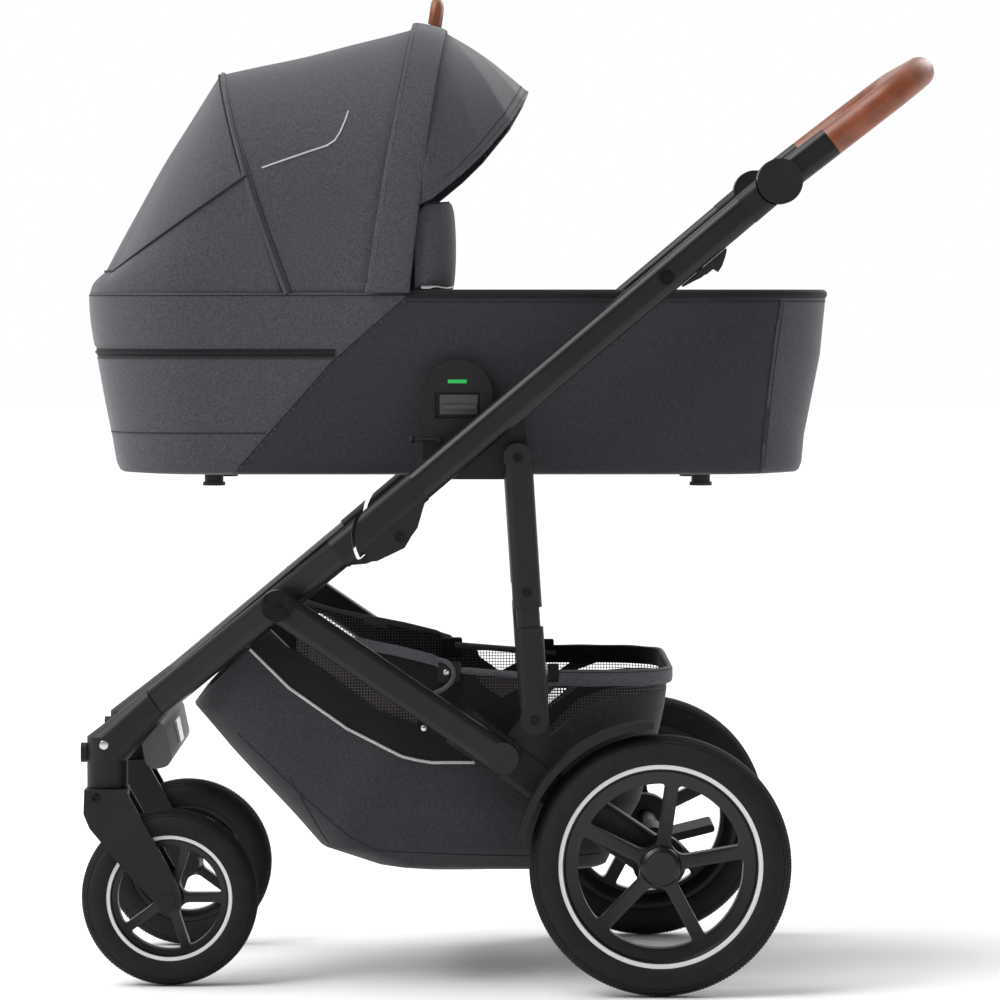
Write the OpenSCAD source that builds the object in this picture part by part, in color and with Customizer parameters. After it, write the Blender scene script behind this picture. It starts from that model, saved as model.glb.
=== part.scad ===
// Baby stroller: folding four-wheel chassis with a lift-off carrycot.
// +X points to the handle, +Z up, origin on the ground under the middle.
// "right" is +Y and "left" is -Y, as seen by the person who pushes.

/* [Overall] */
// Height of the handle tilt hubs above the ground
hub_height = 895.1; // [860:1:940]
// Distance from the middle plane to the handle rails
rail_y = 262; // [240:1:320]
// Distance from the middle plane to the front caster axes
caster_y = 182; // [165:1:220]

/* [Wheels] */
// Outer radius of a rear tyre
rear_wheel_r = 145; // [120:1:152]
// Width of a rear tyre
rear_tyre_w = 48; // [38:1:52]
// Outer radius of a front tyre
front_wheel_r = 99.3; // [82:1:104]
// Width of a front tyre
front_tyre_w = 40; // [32:1:44]
// Radius of the rear axle shaft
axle_r = 8; // [6:0.5:10]

/* [Frame tubes] */
// Height of a rail's section, seen from the side
rail_h = 35; // [28:0.5:38]
// Width of a rail's section, across the stroller
rail_w = 26; // [20:0.5:27]
// Slope of the handle rails above the horizontal
rail_angle = 40.2; // [38:0.1:43]
// Radius of the hinge bolts
bolt_r = 4; // [3:0.5:5]
// Radius of the handle tilt hubs
hub_r = 25; // [20:0.5:30]

/* [Handlebar] */
// Distance from the tilt hubs to the crossbar
bar_reach = 201; // [170:1:240]
// Outer radius of the leather grip
grip_r = 17; // [14:0.5:20]

/* [Carrycot] */
// Length of the cot at its rim
cot_length = 832; // [690:1:860]
// Half width of the cot at its rim
cot_half_w = 214; // [190:1:216]
// Height of the cot's floor above the ground
cot_floor_z = 571; // [560:1:580]
// Height of the cot's rim above the ground
cot_rim_z = 778; // [760:1:800]
// Height of the canopy's top above the ground
canopy_top_z = 1076; // [1040:1:1110]

/* [Fits] */
// Radial clearance of a shaft in its bore
run_gap = 0.05; // [0.02:0.01:0.1]
// Gap between parts that move past each other
side_gap = 0.5; // [0.3:0.1:1]
// Gap between fixed neighbours
seat_gap = 0.1; // [0.05:0.05:0.3]

/* [Hidden] */
$fn = 64;
soft_fn = 32;

// Side view pivots, as [x, z]
fold_pivot = [-116.9, 505.3];
leg_pivot = [-251.7, 430.2];
strut_top = [12.0, 592.8];
strut_foot = [30.7, 303.8];
rear_axle_at = [168.5, rear_wheel_r];
front_axle_at = [-375.8, front_wheel_r];
caster_x = -445.3;
rail_lift = 29.6;              // rail axis above the fold pivot
rail_foot = fold_pivot + rail_lift * [-sin(rail_angle), cos(rail_angle)];
hub_run = (hub_height - rail_foot[1]) / sin(rail_angle);
hub_at = rail_foot + hub_run * [cos(rail_angle), sin(rail_angle)];

// Fold joint
knuckle_end_r = 49.8;          // rounded end of the handle side
socket_end_r = 54;             // hollow end of the front side
knuckle_len = 50.8;
socket_len = 64.5;
sleeve = 2;                    // how much a moulding stands out from its tube

// Front leg
leg_w = 24;
leg_h = 33;
leg_pin_r = 5;
leg_top = [rail_foot[0] - socket_len * cos(rail_angle), rail_y,
           rail_foot[1] - socket_len * sin(rail_angle)];
leg_foot = [-388.5, caster_y + 5, 318.2];
leg_way = (leg_foot - leg_top) / norm(leg_foot - leg_top);
leg_pivot_share = (leg_pivot[0] - leg_top[0]) / (leg_foot[0] - leg_top[0]);
leg_pivot_y = rail_y + leg_pivot_share * (leg_foot[1] - rail_y);

// Caster
housing_bottom = 223;
housing_r = 22.7;
stem_r = 8;
stem_top = 272;
fork_leg_w = 9;
fork_inner = front_tyre_w / 2 + 3.5;

// Rear side
wheel_y = rail_y + 15;
wheel_in = wheel_y - rear_tyre_w / 2;
rear_leg_in = max(rail_y - 0.9, leg_pivot_y + leg_w / 2 + 2);
rear_leg_t = 20;
arm_t = 28;
arm_out = wheel_in - 3;
arm_in = arm_out - arm_t;
rear_line = rear_axle_at - leg_pivot;
rear_len = norm(rear_line);
rear_pitch = atan2(-rear_line[1], rear_line[0]);
rear_leg_len = rear_len - 192;
ear_t = 11;
ear_out = rail_y - 13.6;

// Strut
strut_h = 32;
strut_w = 24;
strut_line = strut_top - strut_foot;
strut_len = norm(strut_line);
strut_pitch = atan2(strut_line[0], strut_line[1]);
post_h = 26;
post_w = 18;
sleeve_len = 102;
tube_from = 124;

// Handlebar
bar_angle = 37.7;
bar_bend_r = 80;
core_r = 13;
grip_from = 71.5;

// Cot
cot_front_x = -470;
cot_mid_x = cot_front_x + cot_length / 2;
cot_wall = 7;
rim_h = 12;
hoop_pivot = [-133, cot_rim_z - 26];
hoop_lean = 8.3;
hoop_half = 22;                // half the width of the hoop's band
hoop_out = 7;                  // hoop's outer face beyond the cot's side
hoop_t = 5;
hoop_r = 150;                  // corner radius of the canopy's arch
adapter_x = -54.2;
adapter_half = 38.6;
adapter_in = cot_half_w + 1.5;
adapter_out = rail_y - 30;
tongue_out = adapter_out + 8;
shelf_z = cot_floor_z + 14;

// Basket
basket_half = arm_in - 13;
basket_wall = 3;

// ---------- shared shapes ----------

// Rectangle with round corners, built from true arcs
module round_rect(w, h, r) {
    square([w - 2 * r, h], center = true);
    square([w, h - 2 * r], center = true);
    for (x = [-1, 1], y = [-1, 1])
        translate([x * (w / 2 - r), y * (h / 2 - r)]) circle(r);
}

// Straight bar along +X with a rounded section, w across and h high
module bar(len, w, h, r) {
    rotate([90, 0, 90]) linear_extrude(len) round_rect(w, h, r);
}

// Bar between two points in space
module bar_between(a, b, w, h, r) {
    d = b - a;
    translate(a) rotate([0, -asin(d[2] / norm(d)), atan2(d[1], d[0])]) bar(norm(d), w, h, r);
}

// Side view outline extruded across the stroller from y0 to y1
module plate(y0, y1) {
    translate([0, y1, 0]) rotate([90, 0, 0]) linear_extrude(y1 - y0) children();
}

// Round pin across the stroller from y0 to y1, at a side view point
module pin(at, r, y0, y1) {
    translate([at[0], y0, at[1]]) rotate([-90, 0, 0]) cylinder(r = r, h = y1 - y0);
}

// Children drawn in the rail's own frame: X up along the rail from the fold pivot's foot
module on_rail(s) {
    translate([rail_foot[0], 0, rail_foot[1]]) rotate([0, -rail_angle, 0])
        translate([s, 0, 0]) children();
}

// Both sides at once: the right one as drawn, and its mirror image
module both_sides() {
    children();
    mirror([0, 1, 0]) children();
}

// One side: 1 is right, -1 is left
module one_side(side) {
    if (side > 0) children();
    else mirror([0, 1, 0]) children();
}

// ---------- front frame ----------

module front_leg(side) color("#232325") one_side(side) difference() {
    bar_between(leg_top - 6 * leg_way, leg_foot, leg_w, leg_h, 8);
    on_rail(-socket_len - seat_gap) translate([0, rail_y, 0]) bar(60, 90, 90, 10);
    translate([leg_pivot[0], leg_pivot_y, leg_pivot[1]]) rotate([-90, 0, 0]) rotate([0, 0, 37])
        cylinder(r = leg_pin_r + run_gap, h = 60, center = true);
}
module front_leg_left() front_leg(-1);
module front_leg_right() front_leg(1);

// Lower half of each fold joint, with the tongue that carries the hinge bolt
module fold_sockets() color("#1d1d1f") both_sides() difference() {
    union() {
        difference() {
            on_rail(-socket_len) translate([0, rail_y, 0])
                bar(socket_len, rail_w + sleeve, rail_h + sleeve, 10);
            pin(fold_pivot, socket_end_r, rail_y - 20, rail_y + 20);
        }
        difference() {
            on_rail(0) plate(rail_y - 6.5, rail_y + 6.5) {
                polygon([[-63, -6], [-63, -17], [-48, -27.5], [-36, -32], [-4, -39.2], [6, -38],
                         [4, -20], [-50, -19.8], [-57, -13]]);
                translate([0, -rail_lift]) circle(10.2);
            }
            on_rail(-52) translate([0, rail_y, 0]) bar(120, rail_w + 6, rail_h + sleeve + 1, 2);
        }
    }
    pin(fold_pivot, bolt_r + run_gap, rail_y - 20, rail_y + 20);
}

module fold_hinge_bolts() color("#101011") both_sides() {
    pin(fold_pivot, bolt_r, rail_y - 14, rail_y + 14.3);
    pin(fold_pivot, bolt_r + 1.5, rail_y + 14.3, rail_y + 16.3);
    pin(fold_pivot, bolt_r + 1.5, rail_y - 16, rail_y - 14);
}

// Body of a caster housing: a cup for the stem that leans back to meet the leg
module housing_body(t) {
    translate([caster_x, caster_y, housing_bottom]) cylinder(r = housing_r + t, h = 50);
    hull() {
        translate([caster_x, caster_y, housing_bottom + 30])
            cylinder(r = housing_r + t, h = 26 + t, $fn = soft_fn);
        bar_between(leg_foot + leg_way * (0.2 - t), leg_foot + 16 * leg_way,
                    leg_w + 4 + 2 * t, leg_h + 2 * t, 9, $fn = soft_fn);
    }
}

module caster_housing(side) color("#1f1f21") one_side(side) difference() {
    housing_body(0);
    translate([caster_x, caster_y, housing_bottom - 1])
        cylinder(r = stem_r + run_gap, h = stem_top + 1 - housing_bottom + 1);
}
module caster_housing_left() caster_housing(-1);
module caster_housing_right() caster_housing(1);

// Curved cross piece that ties the two front legs together
brace_at = [-392, 268];
brace_lean = 12;
brace_t = 30;
brace_half = caster_y - 6;
module front_cross_brace() color("#58585c") difference() {
    plate(-brace_half, brace_half) translate(brace_at) rotate(brace_lean)
        round_rect(brace_t, 52, 12);
    plate(-brace_half + 50, brace_half - 50) translate(brace_at + [-6, 0]) rotate(brace_lean)
        round_rect(brace_t, 44, 10);
    both_sides() housing_body(seat_gap);
}

module front_reflector() color("#e8e8e8") plate(-30, 30)
    translate(brace_at) rotate(brace_lean) translate([brace_t / 2 + 1.3 + seat_gap, 0])
        square([2.6, 26], center = true);

// Hinge pins of the rear legs, each with its outer cap
module leg_hinge_pins() color("#171718") both_sides() {
    pin(leg_pivot, leg_pin_r, leg_pivot_y - leg_w / 2 - 1, rear_leg_in + rear_leg_t + 0.6);
    pin(leg_pivot, 17.6, rear_leg_in + rear_leg_t + 0.6, rear_leg_in + rear_leg_t + 4.6);
}

// Swivel lock button on the nose of a caster housing
module swivel_lock(side) color("#2c2c2f") one_side(side)
    translate([caster_x - housing_r - side_gap - 3.1, caster_y, housing_bottom + 38])
        intersection() {
            cube([6.2, 17, 22], center = true);
            rotate([0, 90, 0]) cylinder(r = 11, h = 20, center = true);
        }
module swivel_lock_left() swivel_lock(-1);
module swivel_lock_right() swivel_lock(1);

// ---------- basket ----------

basket_side = [[-350, 316], [-207, 152], [-182, 138], [-130, 131], [24, 126], [96, 126],
    [120, 136], [150, 203], [167, 265], [180, 334], [56, 336], [-62, 350], [-155, 370],
    [-256, 392], [-290, 372]];

module basket_plan(inset) {
    front = caster_y - 14;
    polygon([[-350 + inset, -front + inset], [-180, -basket_half + inset],
             [130, -basket_half + inset], [184 - inset, -basket_half + 60],
             [184 - inset, basket_half - 60], [130, basket_half - inset],
             [-180, basket_half - inset], [-350 + inset, front - inset]]);
}

module basket() color("#322f33") difference() {
    intersection() {
        plate(-basket_half - 5, basket_half + 5) polygon(basket_side);
        translate([0, 0, 100]) linear_extrude(320) basket_plan(0);
    }
    intersection() {
        plate(-basket_half - 5, basket_half + 5) {
            offset(delta = -basket_wall) polygon(basket_side);
            polygon([[-300, 366], [-283, 370], [-254, 388], [-155, 366], [-62, 346], [56, 332],
                     [175, 330], [175, 430], [-300, 430]]);
        }
        translate([0, 0, 100]) linear_extrude(340) basket_plan(basket_wall);
    }
}

// Padded rim that holds the rear of the basket open
module basket_rim() color("#5a565e") difference() {
    translate([65, 0, 338]) linear_extrude(16) difference() {
        round_rect(239, 2 * basket_half + 11, 90);
        round_rect(229, 2 * basket_half + 1.4, 85);
    }
    translate([-100, -300, 300]) cube([146, 600, 100]);
}

// ---------- handle frame ----------

module handle_tube(side) color("#222224") one_side(side)
    on_rail(knuckle_len) translate([0, rail_y, 0])
        bar(hub_run - 48.3 - knuckle_len, rail_w, rail_h, 10);
module handle_tube_left() handle_tube(-1);
module handle_tube_right() handle_tube(1);

// Upper half of each fold joint: a rounded sleeve with two cheeks on the hinge bolt
module fold_knuckles() color("#1d1d1f") both_sides() difference() {
    union() {
        on_rail(0) translate([0, rail_y, 0])
            bar(knuckle_len, rail_w + sleeve, rail_h + sleeve, 10);
        intersection() {
            on_rail(-60) translate([0, rail_y, 0])
                bar(60.1, rail_w + sleeve, rail_h + sleeve, 10);
            pin(fold_pivot, knuckle_end_r, rail_y - 20, rail_y + 20);
        }
        for (y = [rail_y - 12, rail_y + 7])
            on_rail(0) plate(y, y + 5)
                polygon([[-42, -14], [-42, -29], [-35.9, -33.3], [-4, -41.6], [10.4, -36.5],
                         [21.1, -34], [50.8, -14]]);
    }
    pin(fold_pivot, bolt_r + run_gap, rail_y - 20, rail_y + 20);
}

// Bracket inside each rail: pocket for the cot's tongue, and ear beside the strut
module cot_receptacles() color("#18181a") both_sides() {
    plate(tongue_out + 0.6, rail_y - 13.1) difference() {
        union() {
            polygon([[-63, cot_floor_z - 3], [-2.4, cot_floor_z - 3], [12, strut_top[1] - 14],
                     [24, strut_top[1] + 6], [18, 640], [-20, 616], [-63, 582]]);
            translate(strut_top) circle(14);
        }
        translate([-200, 640]) square([400, 100]);
    }
    plate(adapter_out + 0.6, tongue_out + 0.6)
        polygon([[-62, cot_floor_z - 3], [-2.4, cot_floor_z - 3], [-2.4, 612], [-13, 612],
                 [-13, shelf_z], [-62, shelf_z]]);
}

// Lower half of each tilt hub: a collar on the rail that ends in a disc
module tilt_hubs() color("#1b1b1d") both_sides() difference() {
    union() {
        intersection() {
            on_rail(hub_run - 48.3) translate([0, rail_y, 0])
                bar(48.3, rail_w + 1, rail_h + 1, 10);
            union() {
                translate([-500, 0, 0]) cube([2000, rail_y - side_gap / 2, 2000]);
                difference() {
                    translate([-500, 0, 0]) cube([2000, rail_y + 60, 2000]);
                    pin(hub_at, hub_r + 1.5, rail_y - 40, rail_y + 40);
                }
            }
        }
        pin(hub_at, hub_r, rail_y - rail_w / 2, rail_y - side_gap / 2);
    }
    pin(hub_at, 6 + run_gap, rail_y - 40, rail_y + 40);
}

module trigger_pins() color("#0e0e0f") both_sides()
    on_rail(hub_run - 162) rotate([90, 0, 0])
        translate([0, 0, -rail_y - rail_w / 2 - 1.2]) cylinder(r = 8.5, h = 1.2);

// Finger trigger under a rail: pulled up the rail to let the frame fold
module fold_trigger(side) color("#141415") one_side(side)
    on_rail(hub_run - 155) plate(rail_y - 7, rail_y + 7) difference() {
        translate([0, -rail_h / 2 - 0.4])
            polygon([[0, 0], [0, -2.2], [12, -4.8], [26, -8.4], [38, -8.6], [40, -14.6], [48, -12],
                     [57, -6.6], [63, -2], [63, 0]]);
        translate([24, -rail_h / 2 - 17.2]) circle(9.6);
    }
module fold_trigger_left() fold_trigger(-1);
module fold_trigger_right() fold_trigger(1);

// ---------- handlebar ----------

// Children drawn in the handlebar's plane, X from the hub axis towards the crossbar
module on_bar() {
    translate([hub_at[0], 0, hub_at[1]]) rotate([0, -bar_angle, 0]) children();
}

// U-shaped round tube in the handlebar's plane, from x = start to the crossbar
module bar_u(start, r) {
    for (y = [-1, 1]) {
        translate([start, y * rail_y, 0]) rotate([0, 90, 0])
            cylinder(r = r, h = bar_reach - bar_bend_r - start);
        translate([bar_reach - bar_bend_r, y * (rail_y - bar_bend_r), 0])
            rotate([0, 0, y > 0 ? 0 : -90]) rotate_extrude(angle = 90)
                translate([bar_bend_r, 0]) circle(r);
    }
    translate([bar_reach, -rail_y + bar_bend_r, 0]) rotate([-90, 0, 0])
        cylinder(r = r, h = 2 * (rail_y - bar_bend_r));
}

module handlebar_frame() color("#1b1b1d") {
    on_bar() bar_u(grip_from - 2, core_r);
    both_sides() difference() {
        union() {
            intersection() {
                on_bar() translate([0, rail_y, 0]) bar(grip_from, rail_w, rail_h - 1, 10);
                union() {
                    translate([-500, rail_y + side_gap / 2, 0]) cube([2000, 60, 2000]);
                    difference() {
                        translate([-500, 0, 0]) cube([2000, rail_y + 60, 2000]);
                        pin(hub_at, hub_r + 1.5, rail_y - 40, rail_y + 40);
                    }
                }
            }
            pin(hub_at, hub_r, rail_y + side_gap / 2, rail_y + rail_w / 2);
        }
        pin(hub_at, 6 + run_gap, rail_y - 40, rail_y + 40);
    }
}

module leather_grip() color("#8e4a2c") on_bar() difference() {
    bar_u(grip_from + seat_gap, grip_r);
    bar_u(grip_from - 1, core_r + run_gap);
    translate([bar_reach, -24.6, -12.6]) cube([grip_r + 10, 49.2, 25.2]);
}

module hub_caps() color("#161617") both_sides() {
    pin(hub_at, hub_r, rail_y + rail_w / 2 + seat_gap, rail_y + rail_w / 2 + 9);
    pin(hub_at, 6, rail_y - rail_w / 2, rail_y + rail_w / 2 + seat_gap);
}

// Push button let into the middle of the crossbar
module handle_button() color("#0f0f10") on_bar() translate([bar_reach, 0, 0]) intersection() {
    rotate([90, 0, 0]) difference() {
        cylinder(r = grip_r + 1.8, h = 48, center = true);
        cylinder(r = core_r + 2.4, h = 60, center = true);
    }
    translate([0, -24, -12]) cube([grip_r + 10, 48, 24]);
}

// ---------- rear frame ----------

// Children drawn along the rear leg: X from the leg pivot down to the axle
module on_rear() {
    translate([leg_pivot[0], 0, leg_pivot[1]]) rotate([0, rear_pitch, 0]) children();
}

module rear_leg(side) color("#222224") one_side(side) difference() {
    union() {
        on_rear() translate([0, rear_leg_in + rear_leg_t / 2, 0])
            bar(rear_leg_len - rail_h / 2, rear_leg_t, rail_h, 8);
        for (s = [0, rear_leg_len - rail_h / 2])
            on_rear() translate([s, rear_leg_in, 0]) rotate([-90, 0, 0])
                cylinder(r = rail_h / 2, h = rear_leg_t);
    }
    pin(leg_pivot, leg_pin_r + run_gap, rear_leg_in - 1, rear_leg_in + rear_leg_t + 1);
}
module rear_leg_left() rear_leg(-1);
module rear_leg_right() rear_leg(1);

// Moulding at the foot of each rear leg: carries the strut, the fender and the axle
module rear_housing(side) color("#1c1c1e") one_side(side) difference() {
    union() {
        on_rear() translate([rear_leg_len - 78, (arm_in + arm_out) / 2, 0])
            bar(rear_len - rear_leg_len + 78, arm_t, 46, 8);
        pin(rear_axle_at, 30, arm_in, arm_out);
        on_rear() plate(arm_out, rear_leg_in - seat_gap)
            translate([rear_leg_len - 40, 0]) round_rect(70, 42, 8);
        plate(ear_out - ear_t, ear_out) {
            translate(strut_foot) circle(16);
            polygon([strut_foot + [-16, 0], strut_foot + [-46, -40], strut_foot + [20, -80],
                     strut_foot + [16, 0]]);
        }
    }
    pin(rear_axle_at, axle_r + run_gap, arm_in - 1, arm_out + 1);
    pin(strut_foot, bolt_r + run_gap, ear_out - ear_t - 1, ear_out + 1);
}
module rear_housing_left() rear_housing(-1);
module rear_housing_right() rear_housing(1);

// Arc-shaped mudguards over the front of the rear tyres
fender_in = rear_wheel_r + 7;
module fenders() color("#1f1f21") both_sides() difference() {
    pin(rear_axle_at, fender_in + 8, arm_out + seat_gap, wheel_y + rear_tyre_w / 2 + 1);
    pin(rear_axle_at, fender_in, arm_out - 5, wheel_y + rear_tyre_w);
    plate(arm_out - 5, wheel_y + rear_tyre_w) translate(rear_axle_at)
        polygon([[0, 0], 400 * [cos(93), sin(93)], [400, 400], [400, -400], [-400, -400],
                 400 * [cos(170), sin(170)]]);
}

module rear_axle() color("#2a2a2c") {
    pin(rear_axle_at, axle_r, -wheel_y - 20, wheel_y + 20);
    pin(rear_axle_at, axle_r + 4, -arm_in + seat_gap, arm_in - seat_gap);
}

// Brake pedal that turns on the axle tube
pedal_half = 46;
module brake_pedal() color("#262628") difference() {
    union() {
        pin(rear_axle_at, axle_r + 10, -pedal_half, pedal_half);
        plate(-pedal_half, pedal_half) translate(rear_axle_at) rotate(14)
            translate([36, 0]) round_rect(72, 9, 4);
    }
    pin(rear_axle_at, axle_r + 4 + side_gap, -pedal_half - 1, pedal_half + 1);
}

// ---------- folding struts ----------

// Children drawn along the strut: Z from its foot bolt to its top bolt
module on_strut() {
    translate([strut_foot[0], rail_y, strut_foot[1]]) rotate([0, strut_pitch, 0]) children();
}

module strut_tubes() color("#202022") both_sides() difference() {
    on_strut() {
        translate([0, 0, tube_from]) linear_extrude(strut_len - tube_from)
            round_rect(strut_h, strut_w, 9);
        translate([0, 0, 60]) linear_extrude(tube_from - 60) round_rect(post_h, post_w, 7);
        translate([0, -strut_w / 2, strut_len]) rotate([-90, 0, 0])
            cylinder(r = strut_h / 2, h = strut_w);
    }
    for (d = [141.1, strut_len]) on_strut() translate([0, -1, d]) rotate([-90, 0, 0])
        cylinder(r = bolt_r + run_gap, h = strut_w);
}

module strut_sleeves() color("#1c1c1e") both_sides() difference() {
    on_strut() {
        linear_extrude(sleeve_len) round_rect(strut_h, strut_w, 9);
        translate([0, -strut_w / 2, 0]) rotate([-90, 0, 0])
            cylinder(r = strut_h / 2, h = strut_w);
    }
    on_strut() translate([0, 0, 58]) linear_extrude(60)
        round_rect(post_h + 2 * seat_gap, post_w + 2 * seat_gap, 7);
    pin(strut_foot, bolt_r + run_gap, rail_y - 20, rail_y + 20);
}

module strut_bolts() color("#0f0f10") both_sides() {
    for (d = [141.1, strut_len]) on_strut() translate([0, 0, d]) rotate([-90, 0, 0]) {
        cylinder(r = bolt_r, h = strut_w / 2 + seat_gap);
        translate([0, 0, strut_w / 2 + seat_gap]) cylinder(r = bolt_r + 1.2, h = 1.6);
    }
    pin(strut_foot, bolt_r, ear_out - ear_t, rail_y + strut_w / 2 + seat_gap);
    pin(strut_foot, bolt_r + 1.2, rail_y + strut_w / 2 + seat_gap, rail_y + strut_w / 2 + 1.7);
}

// ---------- front casters ----------

module fork(side) color("#202022") one_side(side) {
    out = caster_y + fork_inner;
    for (y = [out, caster_y - fork_inner - fork_leg_w])
        difference() {
            plate(y, y + fork_leg_w) {
                polygon([[-469, 222], [-470, 195], [-463.5, 179], [-429.6, 138],
                         front_axle_at + [-14, -5], front_axle_at + [14.3, 3],
                         front_axle_at + [5.2, 27], [-424, 222]]);
                translate(front_axle_at) circle(14.4);
            }
            pin(front_axle_at, 5 + run_gap, y - 1, y + fork_leg_w + 1);
        }
    translate([caster_x, caster_y, (222 + 194) / 2]) linear_extrude(28, center = true)
        round_rect(47, 2 * fork_inner + 1, 4);
    translate([caster_x, caster_y, 215]) cylinder(r = stem_r, h = stem_top - 215);
    pin(front_axle_at, 5, caster_y - fork_inner - fork_leg_w, out + fork_leg_w);
    pin(front_axle_at, 7.2, out + fork_leg_w, out + fork_leg_w + 1.6);
}
module fork_left() fork(-1);
module fork_right() fork(1);

// ---------- wheels ----------

// Spoked rim about the Y axis: bead ring, five spokes, hub
module rim(bead_r, ring_t, hub_r2, bore, width, hub_w, first) {
    rotate([90, 0, 0]) difference() {
        union() {
            rotate_extrude() translate([bead_r - ring_t, -width / 2]) square([ring_t, width]);
            rotate_extrude() translate([bead_r - 0.62 * ring_t - 8, -width / 4])
                square([8, width / 2]);
            cylinder(r = hub_r2, h = hub_w, center = true);
            for (k = [0:4]) rotate(first + 72 * k) translate([0, -ring_t * 0.36, -width * 0.3])
                cube([bead_r - ring_t / 2, ring_t * 0.72, width * 0.6]);
        }
        cylinder(r = bore + run_gap, h = hub_w + 2, center = true);
    }
}

// Tyre about the Y axis: a round section cut flat where it sits on the rim
module tyre(outer_r, width, bead_r) {
    rotate([90, 0, 0]) difference() {
        rotate_extrude() translate([outer_r - width / 2, 0]) circle(width / 2);
        cylinder(r = bead_r + seat_gap, h = width + 2, center = true);
    }
}

front_bead = front_wheel_r - 29.3;
rear_bead = rear_wheel_r - 33;
module front_rim(side) color("#1e1e20")
    translate([front_axle_at[0], side * caster_y, front_axle_at[1]])
        rim(front_bead, 13, 14, 5, 26, 2 * fork_inner - 1.5, 0);
module front_rim_left() front_rim(-1);
module front_rim_right() front_rim(1);
module front_tyre(side) color("#151516")
    translate([front_axle_at[0], side * caster_y, front_axle_at[1]])
        tyre(front_wheel_r, front_tyre_w, front_bead);
module front_tyre_left() front_tyre(-1);
module front_tyre_right() front_tyre(1);
module rear_rim(side) color("#1e1e20")
    translate([rear_axle_at[0], side * wheel_y, rear_axle_at[1]])
        rim(rear_bead, 19, 20, axle_r, 32, 42, side * 82);
module rear_rim_left() rear_rim(-1);
module rear_rim_right() rear_rim(1);
module rear_tyre(side) color("#151516")
    translate([rear_axle_at[0], side * wheel_y, rear_axle_at[1]])
        tyre(rear_wheel_r, rear_tyre_w, rear_bead);
module rear_tyre_left() rear_tyre(-1);
module rear_tyre_right() rear_tyre(1);
module hub_cover(side) color("#1a1a1c") one_side(side)
    pin(rear_axle_at, 16.5, wheel_y + 21 + seat_gap, wheel_y + 25);
module hub_cover_left() hub_cover(-1);
module hub_cover_right() hub_cover(1);

// ---------- carrycot ----------

// Plan outline of the cot between two places along X, with round corners
module cot_plan(front, rear, half, r) {
    translate([(front + rear) / 2, 0]) round_rect(rear - front, 2 * half, r);
}

// Solid body of the cot, shrunk by the wall t and lifted by the floor t
module cot_body(t, top) {
    back = cot_front_x + cot_length;
    hull() {
        translate([0, 0, cot_floor_z + t]) linear_extrude(1)
            cot_plan(cot_front_x + 38 + t, back - 34 - t, cot_half_w - 19 - t, 95 - t, $fn = soft_fn);
        translate([0, 0, cot_floor_z + 42]) linear_extrude(1)
            cot_plan(cot_front_x + 27 + t, back - 26 - t, cot_half_w - 13 - t, 105 - t,
                     $fn = soft_fn);
        translate([0, 0, cot_rim_z - rim_h - 62]) linear_extrude(1)
            cot_plan(cot_front_x + 8 + t, back - 8 - t, cot_half_w - 3 - t, 118 - t, $fn = soft_fn);
        translate([0, 0, top - 1]) linear_extrude(1)
            cot_plan(cot_front_x + 2 + t, back - 2 - t, cot_half_w - t, 122 - t, $fn = soft_fn);
    }
}

module cot_shell() color("#4b494f") {
    difference() {
        cot_body(0, cot_rim_z - rim_h);
        cot_body(cot_wall, cot_rim_z);
    }
    // pins that the hood's hoop turns on
    both_sides() {
        pin(hoop_pivot, 5, cot_half_w - 5, cot_half_w + hoop_out + side_gap);
        pin(hoop_pivot, 8, cot_half_w + hoop_out + side_gap, cot_half_w + hoop_out + 3);
    }
}

module cot_rim() color("#17171a") translate([0, 0, cot_rim_z - rim_h + seat_gap])
    linear_extrude(rim_h) difference() {
        cot_plan(cot_front_x, cot_front_x + cot_length, cot_half_w + 1, 124);
        cot_plan(cot_front_x + 11, cot_front_x + cot_length - 11, cot_half_w - 10, 113);
    }

module mattress() color("#d9d6cf") translate([0, 0, cot_floor_z + cot_wall + 2])
    linear_extrude(32) cot_plan(cot_front_x + 58, cot_front_x + cot_length - 54,
                                cot_half_w - 36, 80);

// Fabric cover over the foot half of the cot, let in below the rim
apron_x = -60;
module apron() color("#4b494f") translate([0, 0, cot_rim_z - rim_h + 2]) linear_extrude(9)
    intersection() {
        cot_plan(cot_front_x + 11.5, cot_front_x + cot_length - 11.5, cot_half_w - 10.5, 112);
        translate([apron_x, -300]) square([600, 600]);
    }

// Padded flap that stands up across the cot at the apron's edge
guard_h = 98;
guard_half = cot_half_w - 15;
module wind_guard() color("#4b494f")
    translate([apron_x - 26, 0, cot_rim_z + 1 + guard_h / 2])
        rotate([90, 0, 90]) linear_extrude(16) round_rect(2 * guard_half, guard_h, 38);

// X of the hoop's middle line at height z
function hoop_x(z) = hoop_pivot[0] + (z - hoop_pivot[1]) * tan(hoop_lean);

// Arch of the canopy extruded along X between two places, grown by t
hood_top = canopy_top_z - hoop_out;
module arch_along(t, from, to) {
    low = cot_floor_z;
    translate([from, 0, (hood_top + t + low) / 2]) rotate([90, 0, 90]) linear_extrude(to - from)
        round_rect(2 * (cot_half_w + t), hood_top + t - low, hoop_r + t);
}

// Side outline of the hood between the head end and the hoop, drawn in by t
hood_low = cot_rim_z + 0.6;
module hood_side(t) {
    polygon([[-464 + t, hood_low - 2 * t], [-450 + t, 806], [-340 + 0.8 * t, 1016 - 0.8 * t],
             [-318, 1024 - t], [hoop_x(hood_top) - 26 + 2 * t, hood_top - 5 - t],
             [hoop_x(hood_low) - 26 + 2 * t, hood_low - 2 * t]]);
}

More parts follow.
